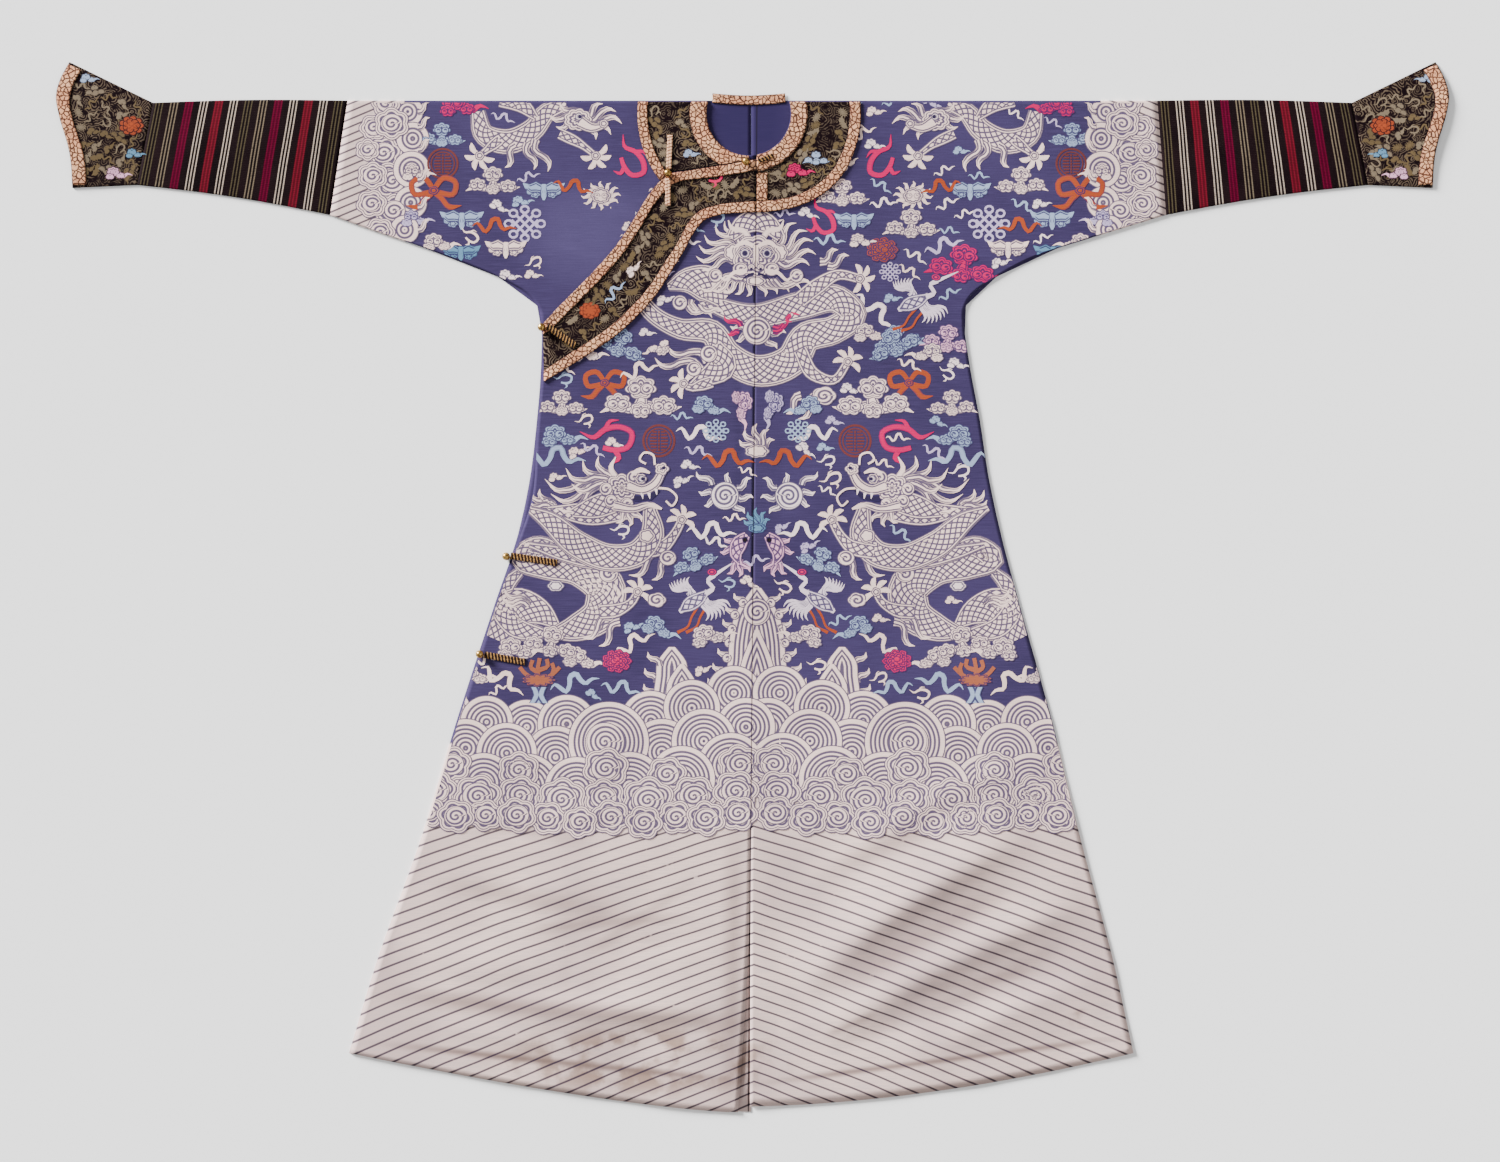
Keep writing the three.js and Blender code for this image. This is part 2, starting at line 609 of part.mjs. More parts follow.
// Edging ribbons.
const RIBBONS = [
  { name: "neck_left", on: "leftFacing", grid: leftCollarGrid(innerEdge, ribbonEdge, 16, 2) },
  { name: "neck_right", on: "rightFacing", grid: rightCollarGrid(facingIn, NECK.ribbonOut, 14, 4) },
  { name: "neck_back", on: "back", grid: backNeckGrid() },
  { name: "collar_left", on: "leftFacing", grid: leftCollarGrid(edgingIn, collarOut, 16, 1) },
  { name: "collar_right", on: "rightFacing", grid: rightCollarGrid(NECK.out - EDGING, NECK.out - 1, 10, 2) },
  { name: "divider", on: "leftFacing", grid: dividerGrid() },
  { name: "band_upper", on: "band", grid: bandGrid(TRIM, EDGING, 1) },
  { name: "band_lower", on: "band", grid: bandGrid(-EDGING, -TRIM, 1) },
];
for (const { name, on, grid } of RIBBONS) add(`ribbon_${name}`, layOn(on, grid, RIBBON), RIBBON_FINISH);

// Ball buttons, and the strips that hold them.
for (const { name, x, y, on } of CLOSURES) {
  const shape = new THREE.SphereGeometry(BALL_R, ...SPANS.ball).rotateX(Math.PI / 2);
  const ball = add(`button_${name}`, shape, BRASS_FINISH);
  ball.position.set(x, y, TOPS[on](x, y) + GAP + BALL_R);
}
for (const row of STRIPS) add(row.name, layOn(row.on, stripGrid(row), STRIP), RIBBON_FINISH);

export default robe;
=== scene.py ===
"""Looks of a figured silk court robe that lies flat on a table, seen from straight above.

Lengths in this file are millimetres until a mesh is made. +X is the wearer's left, +Y runs from hem to
collar and +Z is up off the table. Left and right are the wearer's.
"""

import logging
import math
from dataclasses import dataclass, field
from enum import Enum
from typing import Callable, NamedTuple, Sequence

import bpy
import numpy as np
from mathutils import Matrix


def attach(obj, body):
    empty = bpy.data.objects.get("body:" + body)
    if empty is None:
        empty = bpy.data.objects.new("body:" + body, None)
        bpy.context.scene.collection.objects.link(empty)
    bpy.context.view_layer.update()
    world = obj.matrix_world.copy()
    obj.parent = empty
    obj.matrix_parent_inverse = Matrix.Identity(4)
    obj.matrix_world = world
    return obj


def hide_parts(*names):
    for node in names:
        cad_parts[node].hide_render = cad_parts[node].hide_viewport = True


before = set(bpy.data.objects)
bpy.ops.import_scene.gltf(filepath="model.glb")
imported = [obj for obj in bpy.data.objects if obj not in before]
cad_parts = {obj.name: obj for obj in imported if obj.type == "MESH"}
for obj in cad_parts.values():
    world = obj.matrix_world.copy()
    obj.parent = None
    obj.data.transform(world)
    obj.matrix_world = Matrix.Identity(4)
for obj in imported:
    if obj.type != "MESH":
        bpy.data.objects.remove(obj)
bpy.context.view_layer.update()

LOG = logging.getLogger("robe")
MM = 0.001
BODY = "root"
Array = np.ndarray
Grid = tuple[Array, Array]
Spot = tuple[float, float]
Path = list[Spot]
Height = Callable[[Array, Array], Array]
Material = bpy.types.Material
Piece = bpy.types.Object

# Walls, and the gap between two layers that lie on each other.
SILK = 1.2
FACING = 1.0
RIBBON = 0.8
GAP = 0.3
BACK_TOP = SILK
UNDER_Z = BACK_TOP + GAP
UNDER_TOP = UNDER_Z + SILK
OVER_Z = UNDER_TOP + GAP
OVER_TOP = OVER_Z + SILK


class Side(Enum):
    """The wearer's sides, with the sign of X on each."""

    LEFT = 1
    RIGHT = -1

    @property
    def label(self) -> str:
        """The side's name as the CAD nodes spell it."""
        return self.name.lower()


class SideRow(NamedTuple):
    """A height on the body's outline, and its distance from the centre on each side."""

    y: float
    left: float
    right: float


class BandRow(NamedTuple):
    """A place along the overlap's band: a point of its upper and one of its lower edge."""

    up_x: float
    up_y: float
    low_x: float
    low_y: float


class CuffRow(NamedTuple):
    """A place on the cuff's open edge, at a share of the way from top to bottom."""

    share: float
    x: float
    y: float


class Fold(NamedTuple):
    """A soft ridge, or a trough where rise is negative: its ends, bow, half width and rise."""

    x0: float
    y0: float
    x1: float
    y1: float
    bow: float
    half: float
    rise: float


SIDE_ROWS = tuple(SideRow(*row) for row in (
    (511, 568, 580), (489, 495, 519), (456, 393, 423), (426, 335, 349), (405, 305, 311), (383, 292, 294),
    (360, 291, 290), (312, 297, 290), (230, 312, 296), (147, 325, 306), (65, 343, 324), (-18, 365, 352),
    (-183, 411, 406), (-348, 451, 456), (-512, 495, 515), (-640, 523, 554),
))
BAND_ROWS = tuple(BandRow(*row) for row in (
    (4, 587, 4, 514), (-28, 581, -16, 513), (-54, 577, -30, 512), (-91, 571, -46, 510),
    (-113, 567, -65, 503), (-130, 554, -80, 486), (-144, 536, -93, 462), (-166, 500, -111, 433),
    (-188, 468, -130, 403), (-214, 438, -155, 374), (-240, 411, -183, 348), (-266, 385, -214, 326),
    (-280, 370, -250, 303), (-288, 361, -286, 281),
))
CUFF_ROWS = tuple(CuffRow(*row) for row in (
    (0, 938, 721), (0.15, 950, 698), (0.3, 956, 674), (0.45, 952, 648), (0.65, 940, 607),
    (0.8, 936, 585), (1, 934, 548),
))
FOLD_ROWS = tuple(Fold(*row) for row in (
    (372, -330, 60, -548, -18, 44, 9), (462, -425, 80, -622, -16, 38, 7),
    (485, -560, 190, -650, -8, 30, 4), (-430, -590, -14, -566, -10, 34, 5),
    (-492, -492, -250, -530, -10, 30, 5), (-360, -440, -140, -400, 8, 34, 3),
))
# Finer creases, which only the looks have.
CREASE_ROWS = tuple(Fold(*row) for row in (
    (-455, -395, -330, -425, 6, 13, 1.3), (-330, -470, -200, -445, -5, 15, 1.5),
    (-280, -330, -120, -300, 6, 18, 1.1), (-505, -612, -20, -676, -6, 4, 0.9),
    (20, -672, 500, -600, 8, 4, 0.9), (300, -250, 430, -330, 10, 16, 1.6),
    (120, -330, 300, -250, -8, 20, 1.3), (40, -610, 170, -570, 4, 12, 1.4),
    (250, -20, 352, -150, 8, 14, 0.9), (-330, -60, -220, -150, 7, 15, 0.9),
    (-250, 200, -150, 130, -4, 11, 0.7), (120, 250, 240, 160, 5, 12, 0.7),
    (-110, 60, -40, -60, 4, 12, 0.7), (60, 380, 190, 300, 5, 14, 0.8),
    (385, -338, 66, -552, -16, 20, 5.5), (455, -435, 100, -618, -14, 17, 4.2),
    (470, -540, 250, -634, -8, 13, 2.6), (360, -240, 60, -420, -8, 18, 2.2),
    (300, -560, 60, -650, 6, 9, -1.4), (-470, -545, -60, -588, -12, 14, 3.2),
    (-440, -600, -160, -640, -6, 10, 2), (-400, -350, -180, -330, 6, 14, -1.4),
    (-250, -500, -30, -470, -8, 12, -1.6), (-150, -650, -20, -620, 4, 7, 1.4),
    (-330, -230, -190, -260, 4, 16, 1.2), (-18, 330, -14, 120, 2, 7, -0.7),
))
# Creases of the underlap and the upper sleeves, where no skirt fold reaches.
SLEEVE_CREASE_ROWS = tuple(Fold(*row) for row in (
    (-245, 540, -150, 470, 6, 8, 0.9), (-205, 520, -140, 500, -3, 5, 0.6),
    (-285, 470, -200, 430, 5, 10, 0.8), (-420, 600, -330, 520, 7, 13, 0.8),
    (-520, 620, -430, 560, -6, 12, 0.7), (190, 610, 290, 520, 7, 14, 0.9),
    (320, 600, 430, 520, -6, 13, 0.8), (250, 470, 330, 440, 4, 9, 0.7), (440, 640, 540, 600, 5, 12, 0.6),
))


def grid(down: Sequence, across: Sequence) -> Grid:
    """Two rows of numbers as a grid: the first grows down it and the second across it."""
    return tuple(np.meshgrid(down, across, indexing="ij"))


def column(rows: tuple, name: str) -> Array:
    """One named column of a table, as an array."""
    return np.array([getattr(row, name) for row in rows], float)


def smooth(t: Array) -> Array:
    """Eases from 0 to 1 as t does, with no slope at either end: 3t squared less 2t cubed."""
    t = np.clip(t, 0, 1)
    return t * t * (3 - 2 * t)


def curve_through(xs: Array, ys: Array) -> Callable[[Array], Array]:
    """A smooth curve through points.

    Each stretch is a cubic, and its slope at a point is the mean of the two chords there, each weighted by
    the length of the other.

    Args:
        xs: the points' places, in any order.
        ys: their values.

    Returns:
        A function that gives the curve's values at an array of places, held at both ends.
    """
    order = np.argsort(xs)
    xs, ys = np.asarray(xs, float)[order], np.asarray(ys, float)[order]
    steps = np.diff(xs)
    chords = np.diff(ys) / steps
    inner = (chords[:-1] * steps[1:] + chords[1:] * steps[:-1]) / (steps[1:] + steps[:-1])
    slopes = np.concatenate([chords[:1], inner, chords[-1:]])

    def value(x: Array) -> Array:
        """The curve at x."""
        x = np.clip(x, xs[0], xs[-1])
        i = np.clip(np.searchsorted(xs, x, side="right") - 1, 0, len(steps) - 1)
        h = steps[i]
        t = (x - xs[i]) / h
        start = (1 + 2 * t) * (1 - t) ** 2 * ys[i] + t * (1 - t) ** 2 * h * slopes[i]
        return start + t * t * (3 - 2 * t) * ys[i + 1] + t * t * (t - 1) * h * slopes[i + 1]

    return value


def ridges(rows: tuple[Fold, ...], x: Array, y: Array) -> Array:
    """The height of a set of folds: each is a bowed line with a bell section that fades at both ends.

    Args:
        rows: the folds.
        x, y: places on the cloth.

    Returns:
        The folds' summed height at each place.
    """
    total = np.zeros(np.broadcast(x, y).shape)
    for fold in rows:
        dx, dy = fold.x1 - fold.x0, fold.y1 - fold.y0
        length = math.hypot(dx, dy)
        along = np.clip(((x - fold.x0) * dx + (y - fold.y0) * dy) / length**2, 0, 1)
        across = ((y - fold.y0) * dx - (x - fold.x0) * dy) / length - fold.bow * 4 * along * (1 - along)
        total += fold.rise * np.exp(-((across / fold.half) ** 2)) * np.sin(np.pi * along) ** 0.8
    return total


@dataclass
class RobeForm:
    """The laid-out form that every layer follows: outlines, seams, folds and layer heights."""

    shoulder_y: float = 668
    sleeve_bottom_y: float = 511
    hem_corner_y: float = -640
    hem_fall_y: float = -300
    sleeve_top_x: float = 556
    underarm_y: float = 361
    vent_top_y: float = -420
    hem_centre_left: float = -713
    hem_centre_right: float = -721
    hem_power_left: float = 1.75
    hem_power_right: float = 1.35
    ramp: float = 40
    neck_x: float = -5
    neck_y: float = 650
    neck_hole: float = 57
    ripple: float = 0.56
    seam_at: float = 0.5
    seam_lean: float = 0.0085
    left_side: Callable = field(init=False)
    right_side: Callable = field(init=False)
    band_top: Callable = field(init=False)

    def __post_init__(self) -> None:
        """Prepares the outline curves."""
        heights = column(SIDE_ROWS, "y")
        self.left_side = curve_through(heights, column(SIDE_ROWS, "left"))
        self.right_side = curve_through(heights, column(SIDE_ROWS, "right"))
        self.band_top = curve_through(column(BAND_ROWS, "up_x"), column(BAND_ROWS, "up_y"))

    def side_x(self, side: Side, y: Array) -> Array:
        """Distance from the centre to the outline below the sleeve seam's foot."""
        return self.left_side(y) if side is Side.LEFT else self.right_side(y)

    def outer_x(self, side: Side, y: Array) -> Array:
        """Distance from the centre to a body length's outer edge: the side, then the slanting sleeve seam."""
        foot = self.side_x(side, np.array(float(self.sleeve_bottom_y)))
        share = (y - self.sleeve_bottom_y) / (self.shoulder_y - self.sleeve_bottom_y)
        return np.where(share <= 0, self.side_x(side, y), foot + (self.sleeve_top_x - foot) * share)

    def hem_y(self, side: Side, share: Array) -> Array:
        """The hem's height, which drops to the centre as a power of the share of the way out."""
        left = side is Side.LEFT
        centre = self.hem_centre_left if left else self.hem_centre_right
        power = self.hem_power_left if left else self.hem_power_right
        return centre + (self.hem_corner_y - centre) * np.clip(share, 0, 1) ** power

    def seam_x(self, y: Array) -> Array:
        """The front centre seam, which leans a little."""
        return self.seam_at + self.seam_lean * y

    def vent(self, y: Array) -> Array:
        """How far the front vent is open, from 0 at its top to 1 at the hem."""
        return np.clip((self.vent_top_y - y) / (self.vent_top_y - self.hem_centre_right), 0, 1)

    def overlap_side_x(self, y: Array) -> Array:
        """Distance from the centre to the overlap's free side, just inside the layers under it."""
        y = np.minimum(y, self.underarm_y)
        return self.right_side(y) - 2 - 6 * np.exp(-(((y - 125) / 50) ** 2))

    def lift(self, x: Array, y: Array) -> Array:
        """The folds and creases of the fronts, with a slow ripple that fades out towards the collar."""
        calm = smooth((300 - y) / 200)
        wave = np.sin(x / 23 + 1.3 * np.sin(y / 57)) * np.sin(y / 31 + 0.8 * np.sin(x / 71))
        return ridges(FOLD_ROWS, x, y) + ridges(CREASE_ROWS, x, y) + self.ripple * calm * wave

    def sleeve_lift(self, x: Array, y: Array) -> Array:
        """The small creases of the underlap and the upper sleeves."""
        return ridges(SLEEVE_CREASE_ROWS, x, y)

    def left_top(self, x: Array, y: Array) -> Array:
        """The top of the left front, which rises at the centre to meet the overlap."""
        rise = np.clip((x - self.seam_x(y)) / self.ramp, 0, 1)
        return OVER_TOP + (UNDER_TOP - OVER_TOP) * rise + self.lift(x, y) + self.sleeve_lift(x, y)

    def overlap_top(self, x: Array, y: Array) -> Array:
        """The top of the overlap."""
        return OVER_TOP + self.lift(x, y)

    def underlap_top(self, x: Array, y: Array) -> Array:
        """The top of the right front, which lies under the overlap."""
        return UNDER_TOP + self.sleeve_lift(x, y) * smooth((y - 400) / 40)


FORM = RobeForm()


def mesh_object(name: str, points: Array, faces: Array, materials: list | None = None) -> Piece:
    """Makes a smooth-shaded mesh object whose place is in its mesh.

    Args:
        name: the piece's name.
        points: vertices in millimetres, one a row.
        faces: vertex numbers, one face a row.
        materials: the materials of its slots.

    Returns:
        The new object.
    """
    mesh = bpy.data.meshes.new(name)
    mesh.vertices.add(len(points))
    mesh.vertices.foreach_set("co", (np.asarray(points, float) * MM).astype(np.float32).ravel())
    mesh.loops.add(faces.size)
    mesh.loops.foreach_set("vertex_index", faces.astype(np.int32).ravel())
    mesh.polygons.add(len(faces))
    mesh.polygons.foreach_set("loop_start", np.arange(len(faces), dtype=np.int32) * faces.shape[1])
    mesh.polygons.foreach_set("use_smooth", np.ones(len(faces), bool))
    for material in materials or []:
        mesh.materials.append(material)
    mesh.update(calc_edges=True)
    mesh.validate()
    piece = bpy.data.objects.new(name, mesh)
    bpy.context.scene.collection.objects.link(piece)
    return piece


def set_attribute(piece: Piece, name: str, kind: str, values: Array) -> None:
    """Stores one value a vertex on a piece, as a FLOAT, FLOAT_VECTOR or FLOAT_COLOR attribute."""
    attribute = piece.data.attributes.new(name, kind, "POINT")
    key = {"FLOAT": "value", "FLOAT_VECTOR": "vector", "FLOAT_COLOR": "color"}[kind]
    attribute.data.foreach_set(key, np.asarray(values, np.float32).ravel())


def grid_faces(rows: int, columns: int, loop: bool = False) -> Array:
    """Faces of a grid of points numbered row by row, closed on itself across its columns with loop."""
    spans = columns if loop else columns - 1
    i, j = grid(np.arange(rows - 1), np.arange(spans))
    after = (j + 1) % columns
    corners = [i * columns + j, i * columns + after, (i + 1) * columns + after, (i + 1) * columns + j]
    return np.stack(corners, -1).reshape(-1, 4)


def closed_wall(outer: Array, inner: Array, loop: bool = False) -> Grid:
    """A closed wall of cloth between two matching grids of points, with its faces turned outwards.

    Args:
        outer: points of one face of the cloth, as rows by columns by 3.
        inner: the matching points of the other face.
        loop: whether each row closes on itself, as round a tube.

    Returns:
        The wall's points and its faces.
    """
    rows, columns = outer.shape[:2]
    count = rows * columns
    number = np.arange(count).reshape(rows, columns)
    front = grid_faces(rows, columns, loop)
    faces = [front, front[:, ::-1] + count]

    def rim(edge: Array) -> Array:
        """Faces that join an edge of the outer grid to the inner one."""
        a, b = edge[:-1], edge[1:]
        return np.stack([b, a, a + count, b + count], -1)

    if loop:
        faces += [rim(np.append(number[0], number[0, 0])), rim(np.append(number[-1], number[-1, 0])[::-1])]
    else:
        around = [number[0], number[:, -1], number[-1, ::-1], number[::-1, 0]]
        faces += [rim(edge) for edge in around]
    points = np.concatenate([outer.reshape(-1, 3), inner.reshape(-1, 3)])
    faces = np.concatenate(faces)
    a, b, c, d = (points[faces[:, k]] for k in range(4))
    volume = np.einsum("ij,ij->i", a, np.cross(b, c)).sum() + np.einsum("ij,ij->i", a, np.cross(c, d)).sum()
    return points, faces if volume > 0 else faces[:, ::-1]


def stacked(x: Array, y: Array, z: Array) -> Array:
    """Three matching arrays as one array of points."""
    return np.stack(np.broadcast_arrays(x, y, z), -1).astype(float)


def laid(x: Array, y: Array, top: Height, thickness: float) -> Grid:
    """A wall of cloth on a grid of places, from its top surface down by its thickness."""
    high = top(x, y)
    return closed_wall(stacked(x, y, high), stacked(x, y, high - thickness))


def operator(kind: str, first: bool = True) -> Callable[..., "Value"]:
    """A method of Value that adds a Math node of one kind, with the value itself first or last."""

    def method(self: "Value", *others: "Value | float") -> "Value":
        """The node's result."""
        order = [self, *others] if first else [*others, self]
        return self.nodes.value("ShaderNodeMath", {"operation": kind}, dict(enumerate(order)))

    return method


class Value:
    """A shader value. Python's operators on it add Math nodes, so shader sums read as formulas."""

    __add__ = __radd__ = operator("ADD")
    __mul__ = __rmul__ = operator("MULTIPLY")
    __sub__, __rsub__ = operator("SUBTRACT"), operator("SUBTRACT", False)
    __truediv__, __rtruediv__ = operator("DIVIDE"), operator("DIVIDE", False)
    abs, floor, fract, sin = operator("ABSOLUTE"), operator("FLOOR"), operator("FRACT"), operator("SINE")
    most = operator("MAXIMUM")

    def __init__(self, nodes: "Nodes", source: "bpy.types.NodeSocket | float") -> None:
        """Wraps a socket, or a plain number."""
        self.nodes = nodes
        self.source = source

    def rise(self, low: float, high: float) -> "Value":
        """Eases from 0 at low to 1 at high."""
        inputs = {"Value": self, "From Min": low, "From Max": high}
        return self.nodes.value("ShaderNodeMapRange", {"interpolation_type": "SMOOTHSTEP"}, inputs, "Result")

    def line(self, pitch: float, share: float) -> "Value":
        """Lines at every pitch, each a share of the pitch wide: 1 on a line and 0 between."""
        away = ((self / pitch).fract() - 0.5).abs()
        return 1.0 - away.rise(share * 0.35, share * 0.75)

    def band(self, middle: float, half: float) -> "Value":
        """1 within half of middle, and 0 away from it."""
        return 1.0 - (self - middle).abs().rise(half * 0.7, half * 1.3)


class Nodes:
    """Builds one material's node tree."""

    def __init__(self, name: str) -> None:
        """Starts an empty material with a surface shader."""
        self.material = bpy.data.materials.new(name)
        self.material.use_nodes = True
        self.tree = self.material.node_tree
        self.tree.nodes.clear()
        self.out = self.tree.nodes.new("ShaderNodeOutputMaterial")

    def node(self, kind: str, settings: dict | None = None, inputs: dict | None = None) -> bpy.types.Node:
        """Adds a node.

        Args:
            kind: the node's type.
            settings: its properties, set before the sockets are.
            inputs: a number, colour, Value or socket for each socket, by name or position.

        Returns:
            The new node.
        """
        made = self.tree.nodes.new(kind)
        for key, setting in (settings or {}).items():
            setattr(made, key, setting)
        for key, given in (inputs or {}).items():
            given = given.source if isinstance(given, Value) else given
            if isinstance(given, bpy.types.NodeSocket):
                self.tree.links.new(given, made.inputs[key])
            else:
                made.inputs[key].default_value = given
        return made

    def value(self, kind: str, settings: dict, inputs: dict, output: str | int = 0) -> Value:
        """Adds a node and wraps one of its outputs."""
        return Value(self, self.node(kind, settings, inputs).outputs[output])

    def vector(self, operation: str, *inputs: "Value | tuple") -> Value:
        """Adds a Vector Math node."""
        return self.value("ShaderNodeVectorMath", {"operation": operation}, dict(enumerate(inputs)))

    def attribute(self, name: str, output: str = "Fac") -> Value:
        """Reads an attribute of the piece."""
        return self.value("ShaderNodeAttribute", {"attribute_name": name}, {}, output)

    def split(self, vector: Value) -> tuple[Value, Value, Value]:
        """The three parts of a vector."""
        parts = self.node("ShaderNodeSeparateXYZ", {}, {0: vector})
        return tuple(Value(self, parts.outputs[k]) for k in range(3))

    def place(self) -> Value:
        """The place on the robe, in metres."""
        return self.value("ShaderNodeTexCoord", {}, {}, "Object")

    def place_mm(self) -> tuple[Value, Value]:
        """The place on the robe, in millimetres across and up."""
        x, y, _ = self.split(self.place())
        return x * 1000.0, y * 1000.0

    def spot(self, x: Value, y: Value, at: Spot, reach: Spot) -> Value:
        """A soft oval spot: 1 at its middle and 0 outside its reach."""
        across, up = (x - at[0]) / reach[0], (y - at[1]) / reach[1]
        return 1.0 - (across * across + up * up).rise(0.1, 1.0)

    def seam(self) -> Value:
        """Painted shade in the gap of the front centre seam, 1 on a thin line that leans as the robe's own
        seam does.
        """
        x, y = self.place_mm()
        return (x - y * FORM.seam_lean - FORM.seam_at).band(0.0, 0.9)

    def crease(self, x: Value, y: Value, start: Spot, end: Spot, half: float) -> Value:
        """A soft line from start to end that reaches half to each side. It is 1 along its middle."""
        dx, dy = end[0] - start[0], end[1] - start[1]
        length = math.hypot(dx, dy)
        along = ((x - start[0]) * dx + (y - start[1]) * dy) / length**2
        across = ((y - start[1]) * dx - (x - start[0]) * dy).abs() / length
        return (1.0 - across.rise(0.0, half)) * along.rise(0.0, 0.3) * (1.0 - along.rise(0.7, 1.0))

    def noise(self, scale: float, detail: float = 2.0, vector: Value | None = None) -> Value:
        """Smooth noise about 0.5, at a scale in spots a metre."""
        inputs = {"Vector": vector or self.place(), "Scale": scale, "Detail": detail}
        return self.value("ShaderNodeTexNoise", {}, inputs)

    def bent(self, scale: float, reach: float) -> Value:
        """The place on the robe, pushed about by noise of a scale as far as reach, in metres."""
        place = self.place()
        bend = self.value("ShaderNodeTexNoise", {}, {"Vector": place, "Scale": scale}, "Color")
        return self.vector("MULTIPLY_ADD", bend, (reach,) * 3, place)

    def cells(self, vector: Value, scale: float, feature: str) -> Value:
        """A flat cell pattern's distance, from each cell's middle for F1 or from the edges."""
        settings = {"feature": feature, "voronoi_dimensions": "2D"}
        return self.value("ShaderNodeTexVoronoi", settings, {"Vector": vector, "Scale": scale}, "Distance")

    def mix(self, share: Value, low: "Value | tuple", high: "Value | tuple") -> Value:
        """Blends two colours by a share from 0 to 1."""
        return self.value("ShaderNodeMix", {"data_type": "RGBA"}, {0: share, 6: low, 7: high}, 2)

    def shade(self, colour: Value, by: Value) -> Value:
        """Multiplies a colour by a value."""
        return self.vector("MULTIPLY", colour, self.value("ShaderNodeCombineXYZ", {}, {0: by, 1: by, 2: by}))

    def ramp(self, share: Value, colours: list[tuple]) -> Value:
        """Picks one of a row of colours, each for an equal part of 0 to 1, with no blending."""
        node = self.node("ShaderNodeValToRGB", {}, {0: share})
        node.color_ramp.interpolation = "CONSTANT"
        stops = node.color_ramp.elements
        while len(stops) < len(colours):
            stops.new(1.0)
        for i, colour in enumerate(colours):
            stops[i].position = i / len(colours)
            stops[i].color = colour
        return Value(self, node.outputs[0])

    def weave(self, threads_x: float, threads_y: float) -> Value:
        """A plain weave's height: the larger of two sine rows, with this many threads a metre each way."""
        x, y, _ = self.split(self.place())
        return (x * (threads_x * math.tau)).sin().most((y * (threads_y * math.tau)).sin())

    def finish(
        self, colour: Value, roughness: "Value | float", height: Value | None = None, strength: float = 0.3,
        depth: float = 0.0004, sheen: float = 0.0, metallic: float = 0.0, gloss: float = 0.06,
    ) -> Material:
        """Ends the material with one surface shader.

        Args:
            colour, roughness: of the surface.
            height, strength, depth: what the bump reads, how much it counts and how deep it is, in metres.
            sheen, metallic, gloss: uniform values. A gloss of 0.5 mirrors light as glass does.

        Returns:
            The finished material.
        """
        names = ("Base Color", "Roughness", "Sheen Weight", "Metallic", "Specular IOR Level")
        inputs = dict(zip(names, (colour, roughness, sheen, metallic, gloss)))
        if height is not None:
            sizes = {"Height": height, "Strength": strength, "Distance": depth}
            inputs["Normal"] = self.node("ShaderNodeBump", {}, sizes).outputs[0]
        shader = self.node("ShaderNodeBsdfPrincipled", {}, inputs)
        self.tree.links.new(shader.outputs[0], self.out.inputs[0])
        return self.material


def srgb(red: int, green: int, blue: int) -> tuple[float, float, float, float]:
    """A screen colour from 0 to 255 as the linear colour that a shader takes."""
    parts = np.array([red, green, blue]) / 255
    linear = np.where(parts <= 0.04045, parts / 12.92, ((parts + 0.055) / 1.055) ** 2.4)
    return (*(float(v) for v in linear), 1.0)


DARK = srgb(13, 6, 9)
# Painted shade of the narrow gap along the front centre seam.
SEAM_SHADE = srgb(26, 20, 34)


class Tint(Enum):
    """The colours of the silks."""

    BLUE = srgb(47, 38, 69)
    DEEP_BLUE = srgb(42, 34, 62)
    CREAM = srgb(238, 208, 199)
    WHITE = srgb(234, 213, 214)
    LINE = srgb(46, 37, 78)
    PALE_BLUE = srgb(144, 160, 188)
    TEAL = srgb(90, 130, 158)
    MAGENTA = srgb(190, 6, 84)
    PINK = srgb(214, 160, 186)
    ROSE = srgb(206, 24, 84)
    ORANGE = srgb(154, 66, 36)
    RUST = srgb(150, 84, 60)
    LAVENDER = srgb(178, 162, 196)
    LILAC = srgb(214, 196, 210)
    MAROON = srgb(96, 46, 46)
    GOLD = srgb(92, 76, 52)
    INK = srgb(26, 16, 22)
    GREY = srgb(112, 98, 80)
    PEACH = srgb(222, 166, 126)


